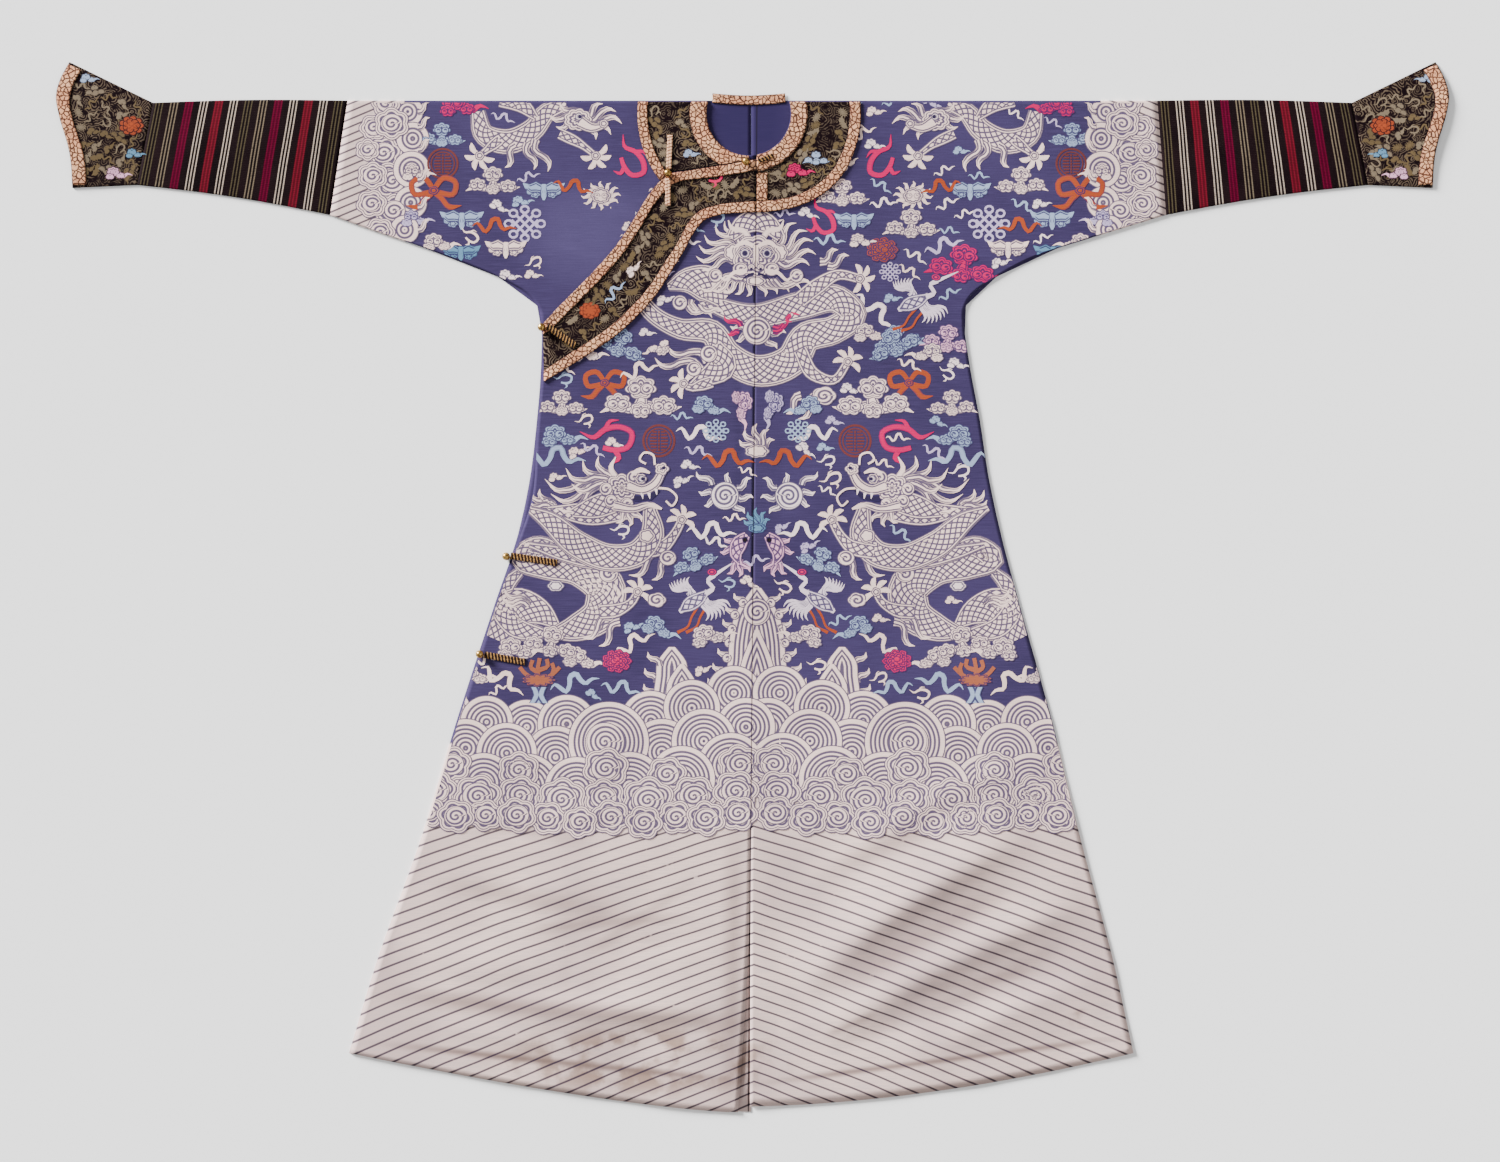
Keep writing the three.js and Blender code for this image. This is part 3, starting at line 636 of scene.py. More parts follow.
@dataclass(frozen=True)
class GroundSilk:
    """The violet-blue ground, which turns cream with thin slanting lines at the hem and the sleeve ends.

    Each shade is a soft line of painted shade on a crease of the cream: its start, its end, its half width
    and its strength.
    """

    wave_low_y: float = -215
    line_pitch: float = 14.6
    line_share: float = 0.17
    sleeve_start_x: float = 476
    shades: tuple = (
        ((392, -388), (92, -566), 26, 0.45), ((455, -475), (210, -606), 20, 0.35),
        ((-560, -556), (60, -606), 22, 0.62), ((-560, -622), (40, -684), 9, 0.85),
        ((-40, -688), (560, -612), 8, 0.8), ((-455, -398), (-130, -462), 26, 0.35),
        ((-24, -300), (-30, -760), 24, 0.5), ((-330, -470), (-60, -452), 14, 0.4),
        ((320, -300), (80, -400), 24, 0.3), ((-430, -300), (-200, -360), 20, 0.25),
        ((-60, -390), (-250, -520), 14, 0.3), ((90, -620), (180, -580), 10, 0.5),
        ((200, -560), (430, -520), 12, 0.25), ((-610, -650), (-100, -730), 22, 0.6),
        ((60, -720), (620, -640), 20, 0.4),
    )

    def blue(self, nodes: Nodes, x: Value, y: Value, cloudy: Value, streak: Value) -> Value:
        """The ground's blue, streaked along the weft, bleached on the underlap, with painted shade inside the
        neck.
        """
        blue = nodes.mix(cloudy.rise(0.35, 0.7), Tint.BLUE.value, srgb(56, 46, 80))
        blue = nodes.mix(streak.rise(0.35, 0.75) * 0.45, blue, srgb(69, 59, 97))
        bleach = nodes.spot(x, y, (-205.0, 480.0), (150.0, 90.0)) * cloudy
        blue = nodes.mix(bleach * 0.35, blue, srgb(88, 80, 118))
        # Painted shade on the inside of the back, seen through the neck hole.
        inside = nodes.spot(x, y, (-5.0, 642.0), (84.0, 84.0))
        return nodes.mix(inside * 0.8, blue, srgb(34, 26, 62))

    def cream(self, nodes: Nodes, x: Value, y: Value, cloudy: Value, streak: Value) -> Value:
        """The hem's cream, stained near the hem and with painted shade along its creases."""
        cream = nodes.mix(cloudy.rise(0.3, 0.7), srgb(230, 200, 190), srgb(193, 166, 161))
        cream = nodes.mix(streak.rise(0.3, 0.8) * 0.5, cream, srgb(174, 162, 164))
        underlap_stain = nodes.spot(x, y, (-150.0, -650.0), (240.0, 60.0))
        soiled = underlap_stain.most(nodes.spot(x, y, (456.0, -592.0), (34.0, 16.0)))
        stain = nodes.noise(24.0, 5.0).rise(0.42, 0.62) * soiled
        cream = nodes.mix(stain * 0.75, cream, srgb(116, 90, 72))
        # Painted shade along the cream's creases and the hem's fold.
        for start, end, half, share in self.shades:
            cream = nodes.mix(nodes.crease(x, y, start, end, half) * share, cream, srgb(110, 90, 84))
        return cream

    def make(self) -> Material:
        """Builds the material."""
        nodes = Nodes("ground_silk")
        x, y = nodes.place_mm()
        out = x.abs()
        down = y * -1.0
        cloudy = nodes.noise(5.0, 4.0)
        fine = nodes.noise(900.0, 1.0)
        streak = nodes.noise(1.0, 3.0, nodes.vector("MULTIPLY", nodes.place(), (30.0, 900.0, 1.0)))
        slope = (down - 300.0).most(0.0) * 0.00025 + 0.3
        wander = (nodes.noise(9.0, 1.0) - 0.5) * 5.0
        slant = y + (x - 2.0).abs() * slope + wander
        skirt_line = slant.line(self.line_pitch, self.line_share) * nodes.noise(70.0, 2.0).rise(0.16, 0.3)
        sleeve_line = (y + out * 0.42).line(10.6, 0.24)
        skirt = down.rise(-self.wave_low_y - 2.0, -self.wave_low_y + 2.0)
        edge = (y * 0.14).sin() * 3.0
        sleeve = (out + edge).rise(self.sleeve_start_x - 1.0, self.sleeve_start_x + 1.0)
        sleeve = sleeve * (y - 400.0).rise(0.0, 5.0)
        line = skirt_line * down.rise(312.0, 320.0) + sleeve_line * sleeve * (1.0 - skirt)
        grounds = (side(nodes, x, y, cloudy, streak) for side in (self.blue, self.cream))
        colour = nodes.mix(sleeve.most(skirt), *grounds)
        colour = nodes.mix(line * 0.9, colour, srgb(44, 36, 52))
        # Painted shade in the gap of the front centre seam.
        colour = nodes.mix(nodes.seam() * 0.85, colour, SEAM_SHADE)
        height = nodes.weave(700.0, 900.0) * 0.35 + fine * 0.65 + cloudy * 1.5
        colour = nodes.shade(colour, fine * 0.24 + 0.88)
        return nodes.finish(colour, fine * 0.12 + 0.62, height, 0.3, 0.0004, sheen=0.03)


@dataclass(frozen=True)
class StripedSilk:
    """The near-black sleeve silk with threes of thin lines, whose colours follow a table."""

    colours: tuple[tuple[int, int, int], ...]
    name: str
    pitch: float = 20.9
    start: float = 0.5
    fill: float = 0.7

    def make(self) -> Material:
        """Builds the material. The stripes read how far the place is along the sleeve."""
        nodes = Nodes(self.name)
        along, across, _ = nodes.split(nodes.attribute("lay", "Vector"))
        along = along - self.start + (nodes.noise(20.0, 1.0) - 0.5) * 1.2
        share = (along / self.pitch).fract()
        three = share.band(0.2, 0.042).most(share.band(0.42, 0.042)).most(share.band(0.64, 0.042))
        count = len(self.colours)
        index = ((along / self.pitch).floor() + 0.5) / float(count)
        stripe = nodes.ramp(index, [srgb(*c) for c in self.colours])
        reds = (c if c[0] > 1.6 * c[1] else None for c in self.colours)
        filled = nodes.ramp(index, [srgb(*(self.fill * v for v in red)) if red else DARK for red in reds])
        end = self.pitch * count
        inside = along.rise(0.0, 1.0) * along.rise(end, end - 1.0)
        worn = nodes.noise(300.0, 2.0).rise(0.2, 0.5)
        ground = nodes.mix(nodes.noise(14.0, 3.0).rise(0.3, 0.7), DARK, srgb(24, 13, 16))
        ground = nodes.mix(share.band(0.42, 0.26) * inside, ground, filled)
        colour = nodes.mix(three * inside * (worn * 0.5 + 0.5), ground, stripe)
        colour = nodes.mix(nodes.noise(1200.0, 1.0).rise(0.55, 0.8) * 0.12, colour, srgb(100, 84, 80))
        height = (across * 2.4).sin() * 0.5 + nodes.noise(1400.0, 1.0)
        return nodes.finish(colour, 0.6, height, 0.35, 0.0003, gloss=0.02)


@dataclass(frozen=True)
class Brocade:
    """The near-black collar and cuff silk, with a dense small gold-grey scrolling design."""

    scale: float = 62.0

    def make(self) -> Material:
        """Builds the material. The scrolls are rings of a cell pattern, bent by noise and broken by it."""
        nodes = Nodes("brocade")
        rings = nodes.cells(nodes.bent(40.0, 0.02), self.scale, "F1").line(0.2, 0.36)
        broken = nodes.noise(120.0, 2.0).rise(0.38, 0.5)
        dense = nodes.noise(16.0, 1.0).rise(0.3, 0.6)
        ground = nodes.mix(nodes.noise(30.0), DARK, srgb(22, 11, 15))
        colour = nodes.mix(rings * broken * (dense * 0.5 + 0.3), ground, srgb(96, 82, 68))
        fine = nodes.noise(1300.0, 1.0)
        colour = nodes.shade(colour, fine * 0.4 + 0.8)
        return nodes.finish(colour, 0.58, fine + rings * 0.5, 0.35, 0.0003, gloss=0.02)


@dataclass(frozen=True)
class CrackleRibbon:
    """The peach ribbon, with dark crackle lines as of cracked ice."""

    scale: float = 165.0
    width: float = 0.2

    def make(self) -> Material:
        """Builds the material. The crackle is the edges of two cell patterns, bent by noise."""
        nodes = Nodes("crackle_ribbon")
        bent = nodes.bent(90.0, 0.008)
        large, small = (nodes.cells(bent, self.scale * times, "DISTANCE_TO_EDGE") for times in (1.0, 2.1))
        line = 1.0 - large.rise(self.width * 0.4, self.width)
        hair = (1.0 - small.rise(self.width * 0.2, self.width * 0.7)) * nodes.noise(60.0).rise(0.45, 0.6)
        warm = nodes.mix(nodes.noise(34.0, 3.0).rise(0.35, 0.7), Tint.PEACH.value, srgb(204, 140, 104))
        colour = nodes.mix(line.most(hair * 0.7) * 0.95, warm, srgb(48, 22, 20))
        colour = nodes.mix(nodes.attribute("edge") * 0.7, colour, srgb(44, 20, 20))
        fine = nodes.noise(1500.0, 1.0)
        colour = nodes.shade(colour, fine * 0.24 + 0.88)
        return nodes.finish(colour, 0.7, fine * 0.8 - line * 0.6, 0.45, 0.0003, sheen=0.03)


@dataclass(frozen=True)
class LoopCloth:
    """The narrow strips of the closures, dark and gold or the ribbon's own colours."""

    name: str = "loop_cloth"
    pale: tuple[float, ...] = srgb(150, 112, 66)
    dark: tuple[float, ...] = srgb(26, 14, 15)
    dark_share: float = 0.62

    def make(self) -> Material:
        """Builds the material. Short dark bars run across a dull gold strip."""
        nodes = Nodes(self.name)
        along, across, _ = nodes.split(nodes.attribute("lay", "Vector"))
        wander = (nodes.noise(500.0, 1.0) - 0.5) * 2.6
        bars = (along + wander + across * 0.35).line(4.6, self.dark_share)
        colour = nodes.mix(bars, self.pale, self.dark)
        fine = nodes.noise(1800.0, 1.0)
        colour = nodes.shade(colour, fine * 0.5 + 0.75)
        return nodes.finish(colour, 0.6, fine + bars, 0.5, 0.0004)


@dataclass(frozen=True)
class OldBrass:
    """Worn brass, darker in its low spots."""

    def make(self) -> Material:
        """Builds the material."""
        nodes = Nodes("old_brass")
        spots = nodes.noise(420.0, 3.0)
        colour = nodes.mix(spots.rise(0.4, 0.62), srgb(112, 82, 40), srgb(206, 168, 98))
        return nodes.finish(colour, 0.5 - spots * 0.3, spots, 0.4, 0.0003, metallic=1.0, gloss=0.5)


@dataclass(frozen=True)
class PaleFloor:
    """The plain pale table."""

    def make(self) -> Material:
        """Builds the material."""
        nodes = Nodes("pale_floor")
        colour = nodes.mix(nodes.noise(3.0), srgb(246, 246, 246), srgb(250, 250, 250))
        return nodes.finish(colour, 0.9)


@dataclass
class Sheet:
    """A piece of cloth: its node and slot in the CAD, its walls, and the cut that it was made from."""

    name: str
    slot: str
    walls: Grid
    material: Material
    flat: tuple[float, float]
    rests_on: tuple[str, ...] = ()
    share: float = 1.0
    laid: Array | None = None
    edge: Array | None = None
    piece: Piece | None = None

    def build(self) -> Piece:
        """Makes the object, with its place along and across the cloth and its nearness to an edge."""
        self.piece = mesh_object(f"cloth_{self.name}", *self.walls, [self.material])
        if self.laid is not None:
            flat = self.laid.reshape(-1, 3)
            set_attribute(self.piece, "lay", "FLOAT_VECTOR", np.concatenate([flat, flat]))
        if self.edge is not None:
            set_attribute(self.piece, "edge", "FLOAT", np.tile(self.edge.ravel(), 2))
        return self.piece

    def declare(self, with_pieces: list[Piece]) -> None:
        """Parents the piece to the robe's body and hides the CAD node that it stands in for, once it has its
        final mesh.
        """
        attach(self.piece, BODY)
        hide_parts(self.name)


def spaced(start: float, stop: float, step: float) -> Array:
    """Evenly spaced values from start to stop, no further apart than step."""
    return np.linspace(start, stop, max(2, int(math.ceil(abs(stop - start) / step)) + 1))


def lerp(a: Array, b: Array, t: Array) -> Array:
    """The value a share t of the way from a to b."""
    return a + (b - a) * t


@dataclass
class BodyLength:
    """A body length: up the back, round its own shoulder fold and down the front, as one folded wall."""

    side: Side
    row_step: float = 9
    fine_step: float = 3
    fine_low_y: float = 360
    back_step: float = 40
    columns: int = 64
    back_seam_x: float = -2
    fold_rows: int = 9

    def inner_edge(self, y: Array) -> Array:
        """The front's inner edge: at the centre seam, and parting at the vent."""
        if self.side is Side.LEFT:
            return FORM.seam_x(y) + GAP / 2 + 2 * FORM.vent(y)
        return FORM.seam_x(y) - 2 - 24 * FORM.vent(y)

    def front_top(self, x: Array, y: Array) -> Array:
        """The top of the front layer."""
        return FORM.left_top(x, y) if self.side is Side.LEFT else FORM.underlap_top(x, y)

    def shares(self) -> Array:
        """The columns' shares of the width, closer together over the rise beside the centre seam."""
        near = np.linspace(0, 0.12, 12, endpoint=False)
        return np.concatenate([near, np.linspace(0.12, 1, self.columns - len(near))])

    def rows(self, heights: Array, edge: Callable) -> Grid:
        """Places of flat rows.

        Args:
            heights: the rows' heights where they meet the side.
            edge: the inner edge as a function of height.

        Returns:
            x and y of every point.
        """
        y, share = grid(heights, self.shares())
        span = FORM.hem_fall_y - FORM.hem_corner_y
        fall = np.clip((FORM.hem_fall_y - y) / span, 0, 1) ** 2
        at_y = y + fall * (FORM.hem_y(self.side, share) - FORM.hem_corner_y)
        return lerp(edge(at_y), self.side.value * FORM.outer_x(self.side, y), share), at_y

    def back_edge(self, y: Array) -> Array:
        """The back's inner edge, at the back seam."""
        return np.full_like(y, self.back_seam_x + self.side.value * GAP / 2)

    def build(self, material: Material) -> Sheet:
        """Makes the sheet: the outer and inner grids run from the back hem over the fold to the front hem."""
        low, high = FORM.hem_corner_y, FORM.shoulder_y - 5
        back_x, back_y = self.rows(spaced(low, high, self.back_step), self.back_edge)
        fine = spaced(FORM.sleeve_bottom_y, self.fine_low_y, self.fine_step)
        above = spaced(high, fine[0] + self.row_step, self.row_step)
        steps = [above, fine, spaced(self.fine_low_y - 8, low, self.row_step)]
        front_x, front_y = self.rows(np.concatenate(steps), self.inner_edge)
        top = self.front_top(front_x, front_y)
        turn = np.linspace(0, 1, self.fold_rows + 2)[1:-1, None]
        blend = smooth(turn)
        shoulder = np.full((1, self.columns), float(FORM.shoulder_y))
        ends = (self.rows(shoulder[0, :1], edge)[0] for edge in (self.back_edge, self.inner_edge))
        fold_x = lerp(*ends, blend)
        middle = self.front_top(fold_x, shoulder) / 2
        angle = np.pi * (turn - 0.5)

        def bend(wall: float) -> Array:
            """The fold's points at a depth into the wall."""
            radius = middle - wall
            y = shoulder - middle + radius * np.cos(angle)
            return stacked(fold_x, y, middle + radius * np.sin(angle))

        outer = [stacked(back_x, back_y, 0), bend(0), stacked(front_x, front_y, top)]
        inner = [stacked(back_x, back_y, SILK), bend(SILK), stacked(front_x, front_y, top - SILK)]
        walls = closed_wall(np.concatenate(outer), np.concatenate(inner))
        flat = (568 if self.side is Side.LEFT else 580, 2 * (FORM.shoulder_y - FORM.hem_centre_left))
        return Sheet(f"body_{self.side.label}", "blue_silk", walls, material, flat, share=0.74)


@dataclass
class NeckCutter:
    """The prism that opens the neck through the front layers, and stops above the inside of the back."""

    base: float = BACK_TOP + GAP / 2
    height: float = 30
    sides: int = 96

    def cut(self, piece: Piece) -> None:
        """Takes the neck hole out of a piece's mesh, and smooths the cut's shading."""
        angle = np.linspace(0, math.tau, self.sides, endpoint=False)[:, None]
        levels = np.array([self.base, self.base + self.height])
        x, y = FORM.neck_x + FORM.neck_hole * np.cos(angle), FORM.neck_y + FORM.neck_hole * np.sin(angle)
        ring = stacked(x, y, levels)
        centre = np.full((1, 2, 3), (FORM.neck_x, FORM.neck_y, 0.0))
        centre[..., 2] = levels
        points = np.concatenate([ring.reshape(-1, 3), centre.reshape(-1, 3)])
        here = np.arange(self.sides) * 2
        after = np.roll(here, -1)
        foot = here * 0 + 2 * self.sides
        sides = (here, after, after + 1), (here, after + 1, here + 1)
        lids = (after, here, foot), (here + 1, after + 1, foot + 1)
        faces = np.concatenate([np.stack(corners, -1) for corners in (*sides, *lids)])
        cutter = mesh_object("neck_cutter", points, faces)
        boolean = piece.modifiers.new("neck", "BOOLEAN")
        boolean.operation = "DIFFERENCE"
        boolean.solver = "EXACT"
        boolean.object = cutter
        depsgraph = bpy.context.evaluated_depsgraph_get()
        cut_mesh = bpy.data.meshes.new_from_object(piece.evaluated_get(depsgraph))
        piece.modifiers.clear()
        piece.data = cut_mesh
        bpy.data.objects.remove(cutter)


@dataclass
class Overlap:
    """The overlap front, from the band's upper edge down to the hem."""

    rows: int = 150
    columns: int = 76

    def seam(self, y: Array) -> Array:
        """The edge on the centre seam, which parts from it at the vent."""
        return FORM.seam_x(y) - GAP / 2 - 14 * FORM.vent(y) ** 1.5

    def build(self, material: Material) -> Sheet:
        """Makes the sheet. Columns run from the centre seam to the free side, and rows from band to hem."""
        first, last = BAND_ROWS[0].up_x, BAND_ROWS[-1].up_x
        share, down = grid(np.linspace(0, 1, self.columns), np.linspace(0, 1, self.rows))
        y = lerp(FORM.band_top(lerp(first, last, share)), FORM.hem_y(Side.RIGHT, share), down)
        x = lerp(self.seam(y), -FORM.overlap_side_x(y), share)
        walls = laid(x, y, FORM.overlap_top, SILK)
        length = FORM.shoulder_y - FORM.hem_centre_right
        under = ("body_right",)
        return Sheet("overlap_front", "wave_silk", walls, material, (554, length), under, share=0.62)


@dataclass
class FlatTube:
    """A cloth tube pressed flat: s runs along it and t from its top to its bottom."""

    place: Callable[[Array, Array], Grid]
    bulge: Callable[[Array, Array], Array]
    along: int = 60
    across: int = 40
    turn: int = 7

    def ring(self, wall: float) -> tuple[Array, Array, Array]:
        """The tube's points at a depth into its wall, with the s and t of each."""
        radius = UNDER_TOP / 2
        r = radius - wall
        s = np.linspace(0, 1, self.along)[:, None]
        top_x, top_y = self.place(s, np.zeros_like(s))
        low_x, low_y = self.place(s, np.ones_like(s))
        length = np.hypot(low_x - top_x, low_y - top_y)
        margin = radius / length
        k = np.linspace(0, 1, self.across)[None, :]
        bend = np.linspace(0, 1, self.turn + 2)[None, 1:-1]
        reach = np.sin(np.pi * bend) * r / length
        flat = lerp(margin, 1 - margin, k)
        t = np.concatenate([flat, 1 - margin + reach, flat[:, ::-1], margin - reach], 1)
        one = np.ones_like(s)
        z = np.concatenate(
            [
                radius + r + self.bulge(s, k),
                radius + r * np.cos(np.pi * bend) * one,
                (radius - r) * one * np.ones_like(k),
                radius - r * np.cos(np.pi * bend) * one,
            ],
            1,
        )
        s = s * np.ones_like(t)
        x, y = self.place(s, t)
        return stacked(x, y, z), s, t

    def walls(self) -> Grid:
        """The tube's walls."""
        return closed_wall(self.ring(0)[0], self.ring(SILK)[0], loop=True)


@dataclass
class Sleeve:
    """A striped sleeve extension, from the upper sleeve to the cuff."""

    side: Side
    belly_top: float = 2.5
    belly_bottom: float = 4
    rise: float = 2.2
    length: float = 272

    def place(self, s: Array, t: Array) -> Grid:
        """A place on the flat sleeve."""
        belly = np.sin(np.pi * s)
        foot = FORM.side_x(self.side, np.array(float(FORM.sleeve_bottom_y)))
        top_x = lerp(FORM.sleeve_top_x + GAP, CUFF_SEAM[0], s)
        low_x = lerp(foot + GAP, CUFF_SEAM[2], s)
        top_y = lerp(FORM.shoulder_y, CUFF_SEAM[1], s) + self.belly_top * belly
        low_y = lerp(FORM.sleeve_bottom_y, CUFF_SEAM[3], s) + self.belly_bottom * belly
        return self.side.value * lerp(top_x, low_x, t), lerp(top_y, low_y, t)

    def bulge(self, s: Array, k: Array) -> Array:
        """How far the front stands up: a low dome with soft ripples along the stripes."""
        dome = self.rise * np.sin(np.pi * s) * np.sin(np.pi * k)
        turn = 1.3 if self.side is Side.LEFT else 0.4
        ripple = np.sin(26 * s + 2.2 * k + turn) * np.sin(9 * k + 5 * s + turn)
        return dome + 0.35 * np.sin(np.pi * s) * np.sin(np.pi * k) * (1 + ripple)

    def build(self, material: Material) -> Sheet:
        """Makes the sheet."""
        tube = FlatTube(self.place, self.bulge, along=70)
        _, s, t = tube.ring(0)
        along = s if self.side is Side.LEFT else 1 - s
        lay = stacked(along * self.length, t * 150, 0)
        name = f"sleeve_{self.side.label}"
        return Sheet(name, "striped_silk", tube.walls(), material, (self.length, 270), laid=lay)


# The seam between sleeve and cuff: its top x and y, then its bottom x and y.
CUFF_SEAM = (823, 665, 845, 552)


@dataclass
class Cuff:
    """A flared horse-hoof cuff and the ribbon on its open edge."""

    side: Side
    rise: float = 2.5
    edging: float = 20
    edge_x: Callable = field(init=False)
    edge_y: Callable = field(init=False)

    def __post_init__(self) -> None:
        """Prepares the open edge's curve."""
        shares = column(CUFF_ROWS, "share")
        self.edge_x = curve_through(shares, column(CUFF_ROWS, "x"))
        self.edge_y = curve_through(shares, column(CUFF_ROWS, "y"))

    def place(self, s: Array, t: Array) -> Grid:
        """A place on the flat cuff: s runs from the sleeve seam to the open edge."""
        seam_x, seam_y = lerp(CUFF_SEAM[0], CUFF_SEAM[2], t), lerp(CUFF_SEAM[1], CUFF_SEAM[3], t)
        x = lerp(seam_x + GAP, self.edge_x(t), s)
        return self.side.value * x, lerp(seam_y, self.edge_y(t), s)

    def bulge(self, s: Array, k: Array) -> Array:
        """How far the front stands up, more towards the open edge."""
        dome = np.sin(np.pi * k)
        return self.rise * s * dome + 0.3 * np.sin(np.pi * s) * np.sin(7 * k + 4 * s) * dome

    def build(self, material: Material) -> Sheet:
        """Makes the cuff's sheet."""
        tube = FlatTube(self.place, self.bulge, along=36)
        return Sheet(f"cuff_{self.side.label}", "dark_silk", tube.walls(), material, (200, 290), share=0.68)

    def ribbon(self, material: Material) -> Sheet:
        """Makes the edge ribbon's sheet, which lies on the front layer only."""
        k, back = grid(np.linspace(0, 1, 60), np.linspace(0, 1, 9))
        t = lerp(0.02, 0.98, k)
        seam_x, seam_y = self.place(np.zeros_like(t), t)
        end_x, end_y = self.place(np.ones_like(t), t)
        inward = self.edging / np.hypot(end_x - seam_x, end_y - seam_y)
        s = 1 - lerp(0.004, inward, back)
        x, y = self.place(s, t)
        base = UNDER_TOP + GAP + self.bulge(s, k).clip(min=self.rise * s * np.sin(np.pi * k))
        high = base + RIBBON
        walls = closed_wall(stacked(x, y, high), stacked(x, y, high - RIBBON))
        edge = near_edge(k.shape, (0.0, self.edging))
        under = f"cuff_{self.side.label}"
        return Sheet(f"ribbon_{under}", "ribbon", walls, material, (self.edging, 190), (under,), edge=edge)


def near_edge(shape: tuple[int, int], across: tuple[float, float], reach: float = 1.0) -> Array:
    """Nearness to a strip's two long edges, 1 on them and 0 from reach inwards.

    Args:
        shape: rows and columns of the strip's grid, with its columns across it.
        across: the places in millimetres of its first and last column.
        reach: how far in the nearness goes.

    Returns:
        The nearness at each point of the grid.
    """
    span = abs(across[1] - across[0])
    place = np.linspace(0, span, shape[1])[None, :] * np.ones(shape)
    return np.clip(1 - np.minimum(place, span - place) / max(reach, span / (shape[1] - 1)), 0, 1)


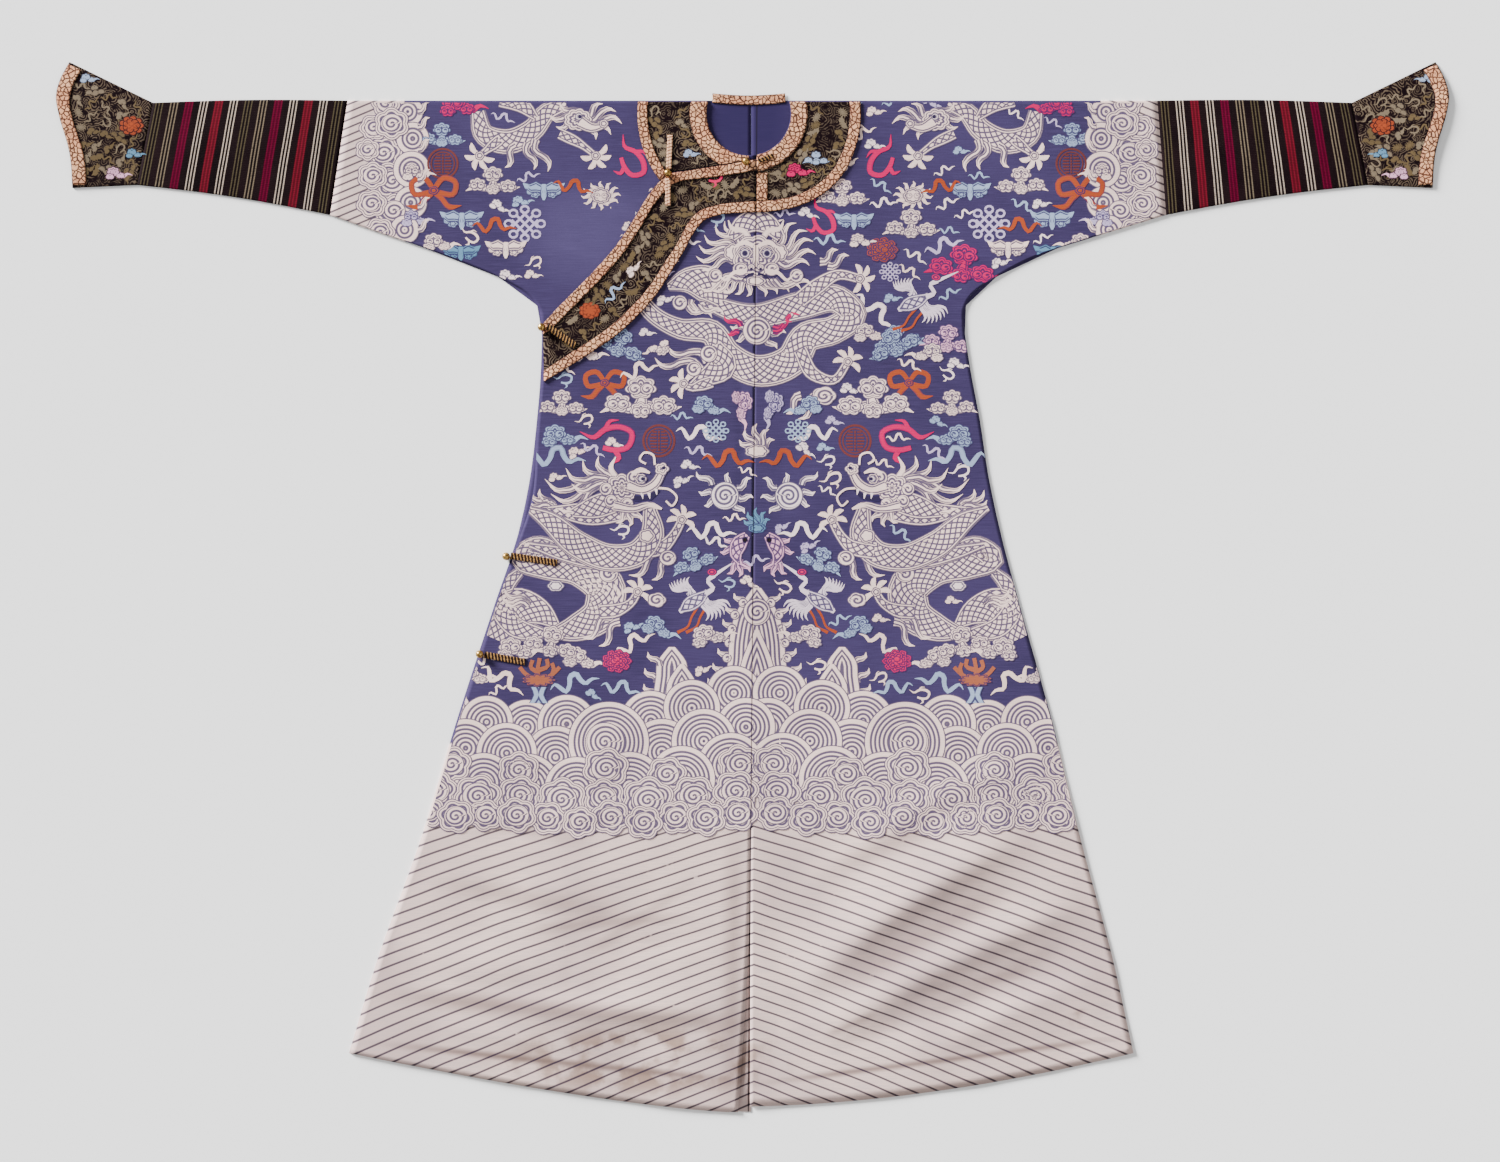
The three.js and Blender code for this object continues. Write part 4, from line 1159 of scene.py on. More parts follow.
@dataclass
class Collar:
    """The dark facing, the band of the overlap and the ribbons that edge them."""

    facing_in: float = 58
    ribbon_out: float = 81
    out: float = 154
    front_out: float = 136
    edging: float = 15
    start_x: float = 6
    clear: float = 1.2
    trim: float = 0.4

    def place(self, radius: Array, degrees: Array) -> Grid:
        """A place on the collar's rings: angle 0 points to the front hem, and grows to the wearer's left."""
        angle = np.radians(degrees)
        return FORM.neck_x + radius * np.sin(angle), FORM.neck_y - radius * np.cos(angle)

    def shoulder_angle(self, radius: Array) -> Array:
        """The angle at which a ring meets the shoulder fold."""
        return 90 + np.degrees(np.arcsin((FORM.shoulder_y - 2 - FORM.neck_y) / radius))

    def outer(self, degrees: Array) -> Array:
        """The collar's outer radius, which draws in towards the front."""
        return lerp(self.front_out, self.out, smooth(np.abs(degrees) / 60))

    def drawn_in(self, by: float) -> Callable[[Array], Array]:
        """The collar's outer radius less a width."""
        return lambda degrees: self.outer(degrees) - by

    def left_grid(self, inner: Callable, outer: Callable, across: int, count: int = 70) -> Grid:
        """Places of a ring-shaped piece on the left front, from beside the centre seam to the shoulder.

        Args:
            inner, outer: its radii as functions of the angle.
            across: points across it.
            count: points along it.

        Returns:
            x and y as grids.
        """
        k, w = grid(np.linspace(0, 1, count), np.linspace(0, 1, across))
        start = np.degrees(np.arcsin((self.start_x - FORM.neck_x) / lerp(inner(0), outer(0), w)))
        stop = self.shoulder_angle(lerp(inner(90), outer(90), w))
        degrees = lerp(start, stop, k)
        return self.place(lerp(inner(degrees), outer(degrees), w), degrees)

    def right_grid(self, inner: float, outer: float, across: int, count: int = 60) -> Grid:
        """Places of a ring-shaped piece on the right front, from the shoulder to just above the band."""
        radius = np.linspace(inner, outer, across)
        start = -self.shoulder_angle(radius)
        trial = np.linspace(0, 1, 2000)[:, None]
        x, y = self.place(radius, lerp(start, 0, trial))
        covered = y < FORM.band_top(x) + self.clear
        last = np.where(covered.any(0), np.maximum(covered.argmax(0) - 1, 0), len(trial) - 1)
        stop = lerp(start, 0, trial[last, 0])
        k = np.linspace(0, 1, count)[:, None]
        return self.place(radius * np.ones_like(k), lerp(start, stop, k))

    def band_grid(self, start: float, stop: float, across: int, step: float = 5) -> Grid:
        """Places on the overlap's band.

        Args:
            start, stop: distances in from the upper edge, or negative from the lower one.
            across: points across the strip.
            step: the greatest distance between points along it.

        Returns:
            x and y as grids.
        """
        names = ("up_x", "up_y", "low_x", "low_y")
        rows = np.stack([column(BAND_ROWS, name) for name in names], 1)
        shift = FORM.seam_x(rows[0, 1]) - 1 - rows[0, 0]
        rows[0, [0, 2]] += shift
        chord = np.hypot(*np.diff(rows[:, :2], axis=0).T)
        at = np.concatenate([[0], np.cumsum(chord)])
        fine = spaced(0, at[-1], step)
        up_x, up_y, low_x, low_y = (curve_through(at, rows[:, k])(fine)[:, None] for k in range(4))
        width = np.hypot(low_x - up_x, low_y - up_y)
        share = np.linspace(0, 1, across)[None, :]
        inset = lerp(start / width + (start < 0), stop / width + (stop < 0), share)
        return lerp(up_x, low_x, inset), lerp(up_y, low_y, inset)

    def sheets(self, dark: Material, ribbon: Material) -> list[Sheet]:
        """Makes every piece of the collar and band."""
        left_facing = self.above(FORM.left_top, FACING)
        right_facing = self.above(FORM.underlap_top, FACING)
        band = self.above(FORM.overlap_top, FACING)
        inner, neck = self.constant(self.facing_in), self.constant(self.ribbon_out)
        left_face, right_face, band_face = "facing_left", "facing_right", "band_overlap"
        right_places = self.right_grid(self.facing_in, self.out - 1, 24)
        facings = [
            (left_face, left_facing, self.left_grid(inner, self.outer, 24), (96, 240), "body_left"),
            (right_face, right_facing, right_places, (96, 176), "body_right"),
            (band_face, band, self.band_grid(self.trim, -self.trim, 22), (78, 430), "overlap_front"),
        ]
        made = [
            Sheet(name, "dark_silk", laid(*places, top, FACING), dark, flat, (under,), share=0.8)
            for name, top, places, flat, under in facings
        ]
        on_left, on_right = self.above(left_facing, RIBBON), self.above(right_facing, RIBBON)
        on_band = self.above(band, RIBBON)
        on_back = self.above(lambda x, y: np.full_like(x, BACK_TOP), RIBBON)
        wide, narrow = self.ribbon_out - self.facing_in, self.edging
        neck_right = self.right_grid(self.facing_in, self.ribbon_out, 9)
        collar_left = self.left_grid(self.drawn_in(narrow), self.outer, 9)
        collar_right = self.right_grid(self.out - narrow, self.out - 1, 9)
        ribbons = [
            ("neck_left", on_left, self.left_grid(inner, neck, 9), (wide, 125), left_face),
            ("neck_right", on_right, neck_right, (wide, 115), right_face),
            ("neck_back", on_back, self.back_grid(), (13, 100), "body_left"),
            ("collar_left", on_left, collar_left, (narrow, 240), left_face),
            ("collar_right", on_right, collar_right, (narrow - 1, 95), right_face),
            ("divider", on_left, self.divider_grid(), (narrow, 40), left_face),
            ("band_upper", on_band, self.band_grid(self.trim, narrow, 9), (narrow, 410), band_face),
            ("band_lower", on_band, self.band_grid(-narrow, -self.trim, 9), (narrow, 425), band_face),
        ]
        for name, top, places, flat, under in ribbons:
            edge = near_edge(places[0].shape, (0, flat[0]), 1.2)
            walls = laid(*places, top, RIBBON)
            made.append(Sheet(f"ribbon_{name}", "ribbon", walls, ribbon, flat, (under,), edge=edge))
        return made

    @staticmethod
    def above(top: Height, thickness: float) -> Height:
        """The top of a layer of this thickness that lies on another."""
        return lambda x, y: top(x, y) + GAP + thickness

    @staticmethod
    def constant(radius: float) -> Callable[[Array], Array]:
        """A radius that is the same at every angle."""
        return lambda degrees: radius + np.zeros_like(np.asarray(degrees, float))

    def divider_grid(self) -> Grid:
        """Places of the divider ribbon, between the neck ribbon and the collar's edge ribbon."""
        seam = FORM.seam_x(FORM.neck_y - self.front_out) + 1
        low, high = FORM.neck_y - self.ribbon_out - 1, FORM.neck_y - self.front_out + self.edging + 1
        y, x = grid(np.linspace(low, high, 20), np.linspace(seam, seam + self.edging, 9))
        return x, y

    def back_grid(self, half: float = 50, low: float = 665, high: float = 678, dip: float = 3) -> Grid:
        """Places of the back neck ribbon, which dips a little in the middle."""
        x, y = grid(np.linspace(-half, half, 40) + FORM.neck_x, np.linspace(low, high, 7))
        return x, y - dip * np.sin(np.pi * (x - FORM.neck_x + half) / (2 * half))


class Ball(NamedTuple):
    """A ball button's place, and the surface that it lies on."""

    name: str
    x: float
    y: float
    on: str


class Strip(NamedTuple):
    """A closure strip: its ends, its width and the surface that it lies on."""

    name: str
    x0: float
    y0: float
    x1: float
    y1: float
    width: float
    on: str


BALLS = tuple(Ball(*row) for row in (
    ("neck", -9, 583, "band_ribbon"), ("collar", -116, 567, "band_ribbon"),
    ("underarm", -289, 356, "band_ribbon"), ("side_upper", -338, 42, "table"),
    ("side_lower", -374, -92, "overlap"),
))
STRIP_ROWS = tuple(Strip(*row) for row in (
    ("strip_neck", 8, 584, 28, 592, 6, "left_ribbon"),
    ("strip_collar_upper", -115, 574, -113, 620, 7, "right_facing"),
    ("strip_collar_lower", -116, 560, -116, 523, 7, "band_ribbon"),
    ("strip_underarm", -282, 358, -243, 331, 9, "band_ribbon"),
    ("strip_side_upper", -332, 43, -268, 33, 9, "overlap"),
    ("strip_side_lower", -368, -93, -312, -103, 9, "overlap"),
))
STRIP_UNDER = {
    "left_ribbon": "ribbon_neck_left",
    "right_facing": "facing_right",
    "band_ribbon": "ribbon_band_upper",
    "overlap": "overlap_front",
}


@dataclass
class Closures:
    """The ball buttons, and the narrow strips that hold them."""

    radius: float = 5.5
    wall: float = 1.4
    lobes: int = 10
    groove: float = 0.16

    def top(self, on: str, x: Array, y: Array) -> Array:
        """The height of a named surface."""
        ribbon = 2 * GAP + FACING + RIBBON
        tops = {
            "table": lambda: np.zeros_like(x),
            "overlap": lambda: FORM.overlap_top(x, y),
            "band_ribbon": lambda: FORM.overlap_top(x, y) + ribbon,
            "left_ribbon": lambda: FORM.left_top(x, y) + ribbon,
            "right_facing": lambda: FORM.underlap_top(x, y) + GAP + FACING,
        }
        return tops[on]()

    def ball(self, row: Ball, material: Material) -> Piece:
        """A brass ball with shallow lobes. Its radius is less a groove that fades at the poles."""
        circles = np.linspace(-np.pi / 2, np.pi / 2, 25)[1:-1]
        lat, lon = grid(circles, np.linspace(0, math.tau, 60, endpoint=False))
        r = self.radius - self.groove * np.cos(lat) * (1 + np.cos(self.lobes * lon)) / 2
        x, y, z = r * np.cos(lat) * np.cos(lon), r * np.cos(lat) * np.sin(lon), r * np.sin(lat)
        centre = (row.x, row.y, float(self.top(row.on, np.array(row.x), np.array(row.y))) + GAP + self.radius)
        poles = [[0, 0, -self.radius], [0, 0, self.radius]]
        points = np.concatenate([stacked(x, y, z).reshape(-1, 3), poles])
        rows, columns = lat.shape
        number = np.arange(rows * columns).reshape(rows, columns)
        foot = number[0] * 0 + rows * columns
        lids = (np.roll(number[0], -1), number[0], foot), (number[-1], np.roll(number[-1], -1), foot + 1)
        sides = grid_faces(rows, columns, loop=True)
        halves = [sides[:, :3], sides[:, [0, 2, 3]], *(np.stack(lid, -1) for lid in lids)]
        piece = mesh_object(f"ball_{row.name}", points + centre, np.concatenate(halves), [material])
        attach(piece, BODY)
        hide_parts(f"button_{row.name}")
        return piece

    def strip(self, row: Strip, material: Material) -> Sheet:
        """A folded strip, a little rounded across and with a groove along its middle."""
        length = math.hypot(row.x1 - row.x0, row.y1 - row.y0)
        along, across = grid(spaced(0, length, 1.5), np.linspace(-1, 1, 13))
        ux, uy = (row.x1 - row.x0) / length, (row.y1 - row.y0) / length
        out = across * row.width / 2
        x, y = row.x0 + ux * along - uy * out, row.y0 + uy * along + ux * out
        base = self.top(row.on, x, y) + GAP
        crown = 0.35 * (1 - across**4) - 0.3 * np.exp(-((across / 0.16) ** 2))
        walls = closed_wall(stacked(x, y, base + self.wall + crown), stacked(x, y, base))
        flat, under = (1.3 * row.width + 2.4, length), (STRIP_UNDER[row.on],)
        lay = stacked(along, out, 0)
        return Sheet(row.name, "loop_cloth", walls, material, flat, under, laid=lay)


# The woven design is set out on a chart whose y runs down. These are its millimetres a unit, the robe's
# origin on it, and the line about which the design's halves mirror.
CHART_UNIT = 1.374
CHART_ORIGIN = (752.5, 587.0)
CHART_MIDDLE = 757.0
# How far the lowest floats lie off the silk, and how much each level adds.
FLOAT_LIFT = 0.11
LEVEL_LIFT = 0.018
# Floats of one level are stacked by this much more in turn, so that no two of them coincide.
STACK_LIFT = 0.0015
STACK_COUNT = 11
# The greatest size of a float's face in millimetres, and twice the least area of one that is kept.
CELL = 7.0
SLIVER = 1e-3


class Weave(Enum):
    """How the floats of a motif lie, as the number of their material."""

    PLAIN = 0
    SCALES = 1
    RINGS = 2
    SPIRAL = 3
    STRANDS = 4
    CLOUD = 5


PLAIN, SCALES, RINGS, SPIRAL, STRANDS, CLOUD = Weave


@dataclass(frozen=True)
class FloatSilk:
    """The silk of the design: its own tint, with fine contour lines that depend on the weave."""

    weave: Weave
    lines: Tint = Tint.LINE

    def line(self, u: Value, v: Value, rim: Value) -> Value:
        """The dark lines of one weave, 1 on a line.

        Args:
            u: millimetres along the motif, or turns round a disc.
            v: millimetres across the motif, or from a disc's centre.
            rim: millimetres in from the motif's edge.

        Returns:
            The lines.
        """
        half = rim + v.abs()
        edge = rim.band(0.3, 1.2) * half.rise(3.2, 5.0)
        if self.weave is SCALES:
            one = (u / 11.5 + v / 9.0).line(1.0, 0.29)
            other = (u / 11.5 - v / 9.0).line(1.0, 0.29)
            return (one.most(other) * rim.rise(3.6, 4.4)).most(rim.band(3.8, 0.75)).most(edge)
        if self.weave is RINGS:
            return ((rim - 6.4).line(5.9, 0.5) * rim.rise(6.0, 6.6)).most(edge)
        if self.weave is CLOUD:
            return (rim.line(5.8, 0.54) * rim.rise(3.0, 3.4)).most(edge)
        if self.weave is SPIRAL:
            return ((v / 6.4 - u).line(1.0, 0.46) * rim.rise(2.2, 3.0)).most(edge)
        if self.weave is STRANDS:
            return ((v + (u * 0.3).sin() * 0.4).line(4.8, 0.42) * rim.rise(0.8, 1.4)).most(edge)
        return (rim.band(3.4, 0.9) * half.rise(4.5, 6.0)).most(edge)

    def make(self) -> Material:
        """Builds the material."""
        nodes = Nodes(f"floats_{self.weave.name}_{self.lines.name}".lower())
        u, v, half = nodes.split(nodes.attribute("lay", "Vector"))
        rim = half - v.abs()
        line = self.line(u, v, rim)
        fine = nodes.noise(1000.0, 1.0)
        cloudy = nodes.noise(7.0, 3.0)
        tint = nodes.attribute("tint", "Color")
        aged = nodes.shade(tint, 1.0 - cloudy.rise(0.35, 0.75) * 0.2)
        colour = nodes.mix(line * 0.92, aged, self.lines.value)
        # Painted shade in the gap of the front centre seam.
        colour = nodes.mix(nodes.seam() * 0.8, colour, SEAM_SHADE)
        colour = nodes.shade(colour, fine * 0.26 + 0.86)
        height = nodes.weave(900.0, 450.0) * 0.4 + fine * 0.6 - line
        return nodes.finish(colour, 0.6, height, 0.35, 0.0004, sheen=0.03)


def to_robe(across: Array, down: Array) -> Grid:
    """Takes chart places to the robe, in millimetres."""
    return (across - CHART_ORIGIN[0]) * CHART_UNIT, (CHART_ORIGIN[1] - down) * CHART_UNIT


def to_chart(x: Array, y: Array) -> Grid:
    """Takes places on the robe to the chart."""
    return x / CHART_UNIT + CHART_ORIGIN[0], CHART_ORIGIN[1] - y / CHART_UNIT


@dataclass(frozen=True)
class Place:
    """Where a motif goes on the chart: its centre, size, turn in degrees, and whether it is mirrored."""

    x: float = 0.0
    y: float = 0.0
    size: float = 1.0
    turn: float = 0.0
    mirrored: bool = False

    def apply(self, x: Array, y: Array) -> Grid:
        """Takes a motif's own coordinates to the robe, in millimetres."""
        angle = math.radians(self.turn)
        across = self.x + self.size * (x * math.cos(angle) - y * math.sin(angle))
        down = self.y + self.size * (x * math.sin(angle) + y * math.cos(angle))
        if self.mirrored:
            across = 2 * CHART_MIDDLE - across
        return to_robe(across, down)


@dataclass
class Brush:
    """Collects the floats of the design as grids of faces, each with its lay, tint, weave and level."""

    grids: list = field(default_factory=list)
    place: Place = Place()
    level: float = 0.0
    tint: Tint = Tint.CREAM
    least_width: float = 0.15

    def at(self, place: Place, level: float = 0.0, tint: Tint = Tint.CREAM) -> "Brush":
        """A brush that adds to the same design at another place."""
        return Brush(self.grids, place, level, tint)

    def put(
        self, x: Array, y: Array, lay: Array, weave: Weave, level: float, tint: Tint | None, loop: bool
    ) -> None:
        """Adds one grid, in the motif's own coordinates."""
        robe_x, robe_y = self.place.apply(x, y)
        self.grids.append((robe_x, robe_y, lay, weave, self.level + level, tint or self.tint, loop))

    def ribbon(
        self, path: Path, widths: list[float], weave: Weave = PLAIN, level: float = 0.0,
        tint: Tint | None = None,
    ) -> None:
        """A strip along a smooth curve through points.

        Args:
            path: the points.
            widths: the strip's widths, evenly spaced along it.
            weave: how its floats lie.
            level: how far it is stacked above the brush's own level.
            tint: its colour, or None for the brush's own.
        """
        points = np.array(path, float)
        unit = self.place.size * CHART_UNIT
        chords = np.hypot(*np.diff(points, axis=0).T)
        at = np.concatenate([[0], np.cumsum(chords)])
        step = min(CELL, 2.0 + max(widths) * unit * 0.4) / unit
        fine = spaced(0, at[-1], step)
        x, y = (curve_through(at, points[:, k])(fine) for k in range(2))
        dx, dy = np.gradient(x, fine), np.gradient(y, fine)
        norm = np.hypot(dx, dy) + 1e-9
        share = np.linspace(0, 1, len(widths))
        half = np.maximum(curve_through(share, np.array(widths))(fine / at[-1]), self.least_width) / 2
        columns = 2 + int(max(widths) * unit / CELL)
        w = np.linspace(-1, 1, columns)[None, :]
        out = half[:, None] * w
        grid_x = x[:, None] - (dy / norm)[:, None] * out
        grid_y = y[:, None] + (dx / norm)[:, None] * out
        lay = stacked(fine[:, None] * unit, out * unit, half[:, None] * unit)
        self.put(grid_x, grid_y, lay, weave, level, tint, False)

    def disc(
        self, x: float, y: float, rx: float, ry: float | None = None, weave: Weave = PLAIN,
        level: float = 0.0, tint: Tint | None = None, lobes: int = 0, depth: float = 0.12, turn: float = 0.0,
    ) -> None:
        """A round or lobed patch: rings of points whose radius swells once a lobe.

        Args:
            x, y: its centre.
            rx, ry: its radii, or one radius.
            weave: how its floats lie.
            level: how far it is stacked above the brush's own level.
            tint: its colour, or None for the brush's own.
            lobes: how many lobes its edge has.
            depth: how deep they are, as a share of the radius.
            turn: which way the first lobe points, in degrees.
        """
        ry = rx if ry is None else ry
        unit = self.place.size * CHART_UNIT
        mean = (rx + ry) / 2
        spokes = int(np.clip(mean * unit * 1.4, 12, 72)) if not lobes else max(lobes * 8, 24)
        rings = 2 + int(mean * unit / CELL)
        theta = np.linspace(0, math.tau, spokes, endpoint=False)[None, :]
        swell = 1 - depth * (1 - np.abs(np.cos(lobes * (theta - math.radians(turn)) / 2))) if lobes else 1
        r = np.linspace(0.0, 1, rings)[:, None]
        r = np.maximum(r, 0.02)
        out = r * swell * np.ones_like(theta)
        lay = stacked(theta / math.tau, out * mean * unit, swell * mean * unit * np.ones_like(out))
        self.put(x + rx * out * np.cos(theta), y + ry * out * np.sin(theta), lay, weave, level, tint, True)

    def flame(
        self, x0: float, y0: float, x1: float, y1: float, width: float, level: float = 0.0,
        tint: Tint | None = None,
    ) -> None:
        """A tongue of flame or mane from a root to a tip, which sways once to each side."""
        t = np.linspace(0, 1, 6)
        sway = 0.14 * np.sin(math.tau * t)
        path = list(zip(lerp(x0, x1, t) - (y1 - y0) * sway, lerp(y0, y1, t) + (x1 - x0) * sway))
        self.ribbon(path, [width, width * 0.8, width * 0.7, width * 0.5, 0.3], STRANDS, level, tint)

    def fan(self, x: float, y: float, tips: Sequence[Spot], width: float, level: float = 0.0) -> None:
        """Flames from one root."""
        for tip in tips:
            self.flame(x, y, *tip, width, level)

    def flames(self, tongues: Sequence, width: float, level: float = 0.0, tint: Tint | None = None) -> None:
        """Flames of one width, each from its root to its tip."""
        for tongue in tongues:
            self.flame(*tongue, width, level, tint)

    def swirl(self, x: float, y: float, r: float, level: float = 0.0) -> None:
        """A round patch whose floats wind to its middle."""
        self.disc(x, y, r, weave=SPIRAL, level=level)

    def curl(self, x: float, y: float, r: float, wide: float, turn: float) -> None:
        """A cloud's head: a lobed patch that is wide times as broad as its radius, with a spiral on it."""
        self.disc(x, y, r * wide, r, CLOUD, lobes=6, depth=0.15, turn=turn)
        self.disc(x, y, r * 0.68, r * 0.6, SPIRAL, 1)

    def both(self, level: float = 0.0) -> list["Brush"]:
        """A brush for each half of the design."""
        return [self.at(Place(mirrored=mirrored), level) for mirrored in (False, True)]

    def spines(self, path: Path, widths: list[float], level: float, tooth: float = 5.0) -> None:
        """A dragon's body: a toothed edge below, and scales on it."""
        points = np.array(path, float)
        length = float(np.hypot(*np.diff(points, axis=0).T).sum())
        fine = np.linspace(0, 1, int(2 * length / tooth))
        broad = curve_through(np.linspace(0, 1, len(widths)), np.array(widths))(fine)
        teeth = broad + 2.2 + 2.4 * (np.arange(len(fine)) % 2)
        self.ribbon(path, list(teeth), PLAIN, level)
        self.ribbon(path, widths, SCALES, level + 1)


@dataclass
class FloatMesh:
    """One mesh of floats that lie on a surface."""

    name: str
    top: Height | None = None

    def surface(self, x: Array, y: Array) -> Array:
        """The height that the floats lie on."""
        return self.top(x, y)

    def trimmed(self, x: Array, y: Array, cells: Array) -> tuple[Array, Array, Array]:
        """The places and the faces that are kept. Here all are, as they are."""
        return x, y, cells

    def build(self, brush: Brush, materials: list[Material]) -> Piece:
        """Makes one mesh of all the brush's grids.

        Args:
            brush: the floats.
            materials: one material for each weave, in the order of their numbers.

        Returns:
            The object.
        """
        points, faces, lays, tints, numbers = [], [], [], [], []
        count = 0
        for order, (x, y, lay, weave, level, tint, loop) in enumerate(brush.grids):
            rows, columns = x.shape
            cells = grid_faces(rows, columns, loop)
            x, y, cells = self.trimmed(x, y, cells)
            if not len(cells):
                continue
            corners = np.stack([x.ravel()[cells], y.ravel()[cells]], -1)
            one, other = corners[:, 2] - corners[:, 0], corners[:, 3] - corners[:, 1]
            area = one[:, 0] * other[:, 1] - one[:, 1] * other[:, 0]
            kept = np.abs(area) > SLIVER
            cells = np.where((area[kept] > 0)[:, None], cells[kept], cells[kept][:, ::-1])
            stack = FLOAT_LIFT + LEVEL_LIFT * level + STACK_LIFT * (order % STACK_COUNT)
            points.append(stacked(x, y, self.surface(x, y) + stack).reshape(-1, 3))
            faces.append(cells + count)
            lays.append(lay.reshape(-1, 3))
            tints.append(np.tile(tint.value, (x.size, 1)))
            numbers.append(np.full(len(cells), weave.value))
            count += x.size
        piece = mesh_object(self.name, np.concatenate(points), np.concatenate(faces), materials)
        set_attribute(piece, "lay", "FLOAT_VECTOR", np.concatenate(lays))
        set_attribute(piece, "tint", "FLOAT_COLOR", np.concatenate(tints))
        piece.data.polygons.foreach_set("material_index", np.concatenate(numbers).astype(np.int32))
        return piece


@dataclass
class RobeFloats(FloatMesh):
    """The floats of the robe's own silk, kept on it and out from under its collar and strips."""

    margin: float = 1.0
    top_y: float = 665.0
    slack: float = 5.0
    collar_radius: float = 122.0
    sleeve_x: float = 552.0
    band_reach: float = 4.0

    def surface(self, x: Array, y: Array) -> Array:
        """The top of the silk that shows at each place."""
        left = x >= FORM.seam_x(y)
        low = y < FORM.band_top(np.minimum(x, self.band_reach))
        right = np.where(low, FORM.overlap_top(x, y), FORM.underlap_top(x, y))
        return np.where(left, FORM.left_top(x, y), right)

    def above_band(self, x: Array, y: Array) -> Array:
        """Whether a place is on the underlap, above the band."""
        return (y >= FORM.band_top(np.minimum(x, self.band_reach))) & (x < FORM.seam_x(y))

    def clamp(self, x: Array, y: Array) -> Grid:
        """Moves places that are outside the robe to just inside its outline."""
        for side in Side:
            here = (x * side.value) > 0
            out = np.abs(x)
            rows = np.linspace(383, 511, 60)
            bottom = np.interp(out, FORM.side_x(side, rows), rows) + self.margin
            y = np.where(here & (out > 300) & (y < bottom) & (y > 370), bottom, y)
            limit = FORM.outer_x(side, y) - self.margin
            if side is Side.RIGHT:
                limit = np.where(y < FORM.underarm_y, FORM.overlap_side_x(y) - self.margin, limit)
            x = np.where(here & (out > limit) & (y <= 430), side.value * limit, x)
        return x, np.minimum(y, self.top_y)

    def hidden(self, x: Array, y: Array) -> Array:
        """Whether a place lies well under the collar, or past the sleeve seam."""
        r = np.hypot(x - FORM.neck_x, y - FORM.neck_y)
        lost = (r < self.collar_radius) | (np.abs(x) > self.sleeve_x)
        for strip in STRIP_ROWS:
            length = math.hypot(strip.x1 - strip.x0, strip.y1 - strip.y0)
            ux, uy = (strip.x1 - strip.x0) / length, (strip.y1 - strip.y0) / length
            along = (x - strip.x0) * ux + (y - strip.y0) * uy
            across = (y - strip.y0) * ux - (x - strip.x0) * uy
            lost |= (along > 0) & (along < length) & (np.abs(across) < strip.width / 2)
        return lost

    def trimmed(self, x: Array, y: Array, cells: Array) -> tuple[Array, Array, Array]:
        """Moves places inside, and leaves out faces that move far, straddle the band's edge or are hidden."""
        in_x, in_y = self.clamp(x, y)
        moved = np.hypot(in_x - x, in_y - y).ravel()[cells].mean(1)
        above = self.above_band(in_x, in_y).ravel()[cells]
        hidden = self.hidden(in_x, in_y).ravel()[cells].all(1)
        lost = (moved > self.slack) | (above.min(1) != above.max(1)) | hidden
        return in_x, in_y, cells[~lost]


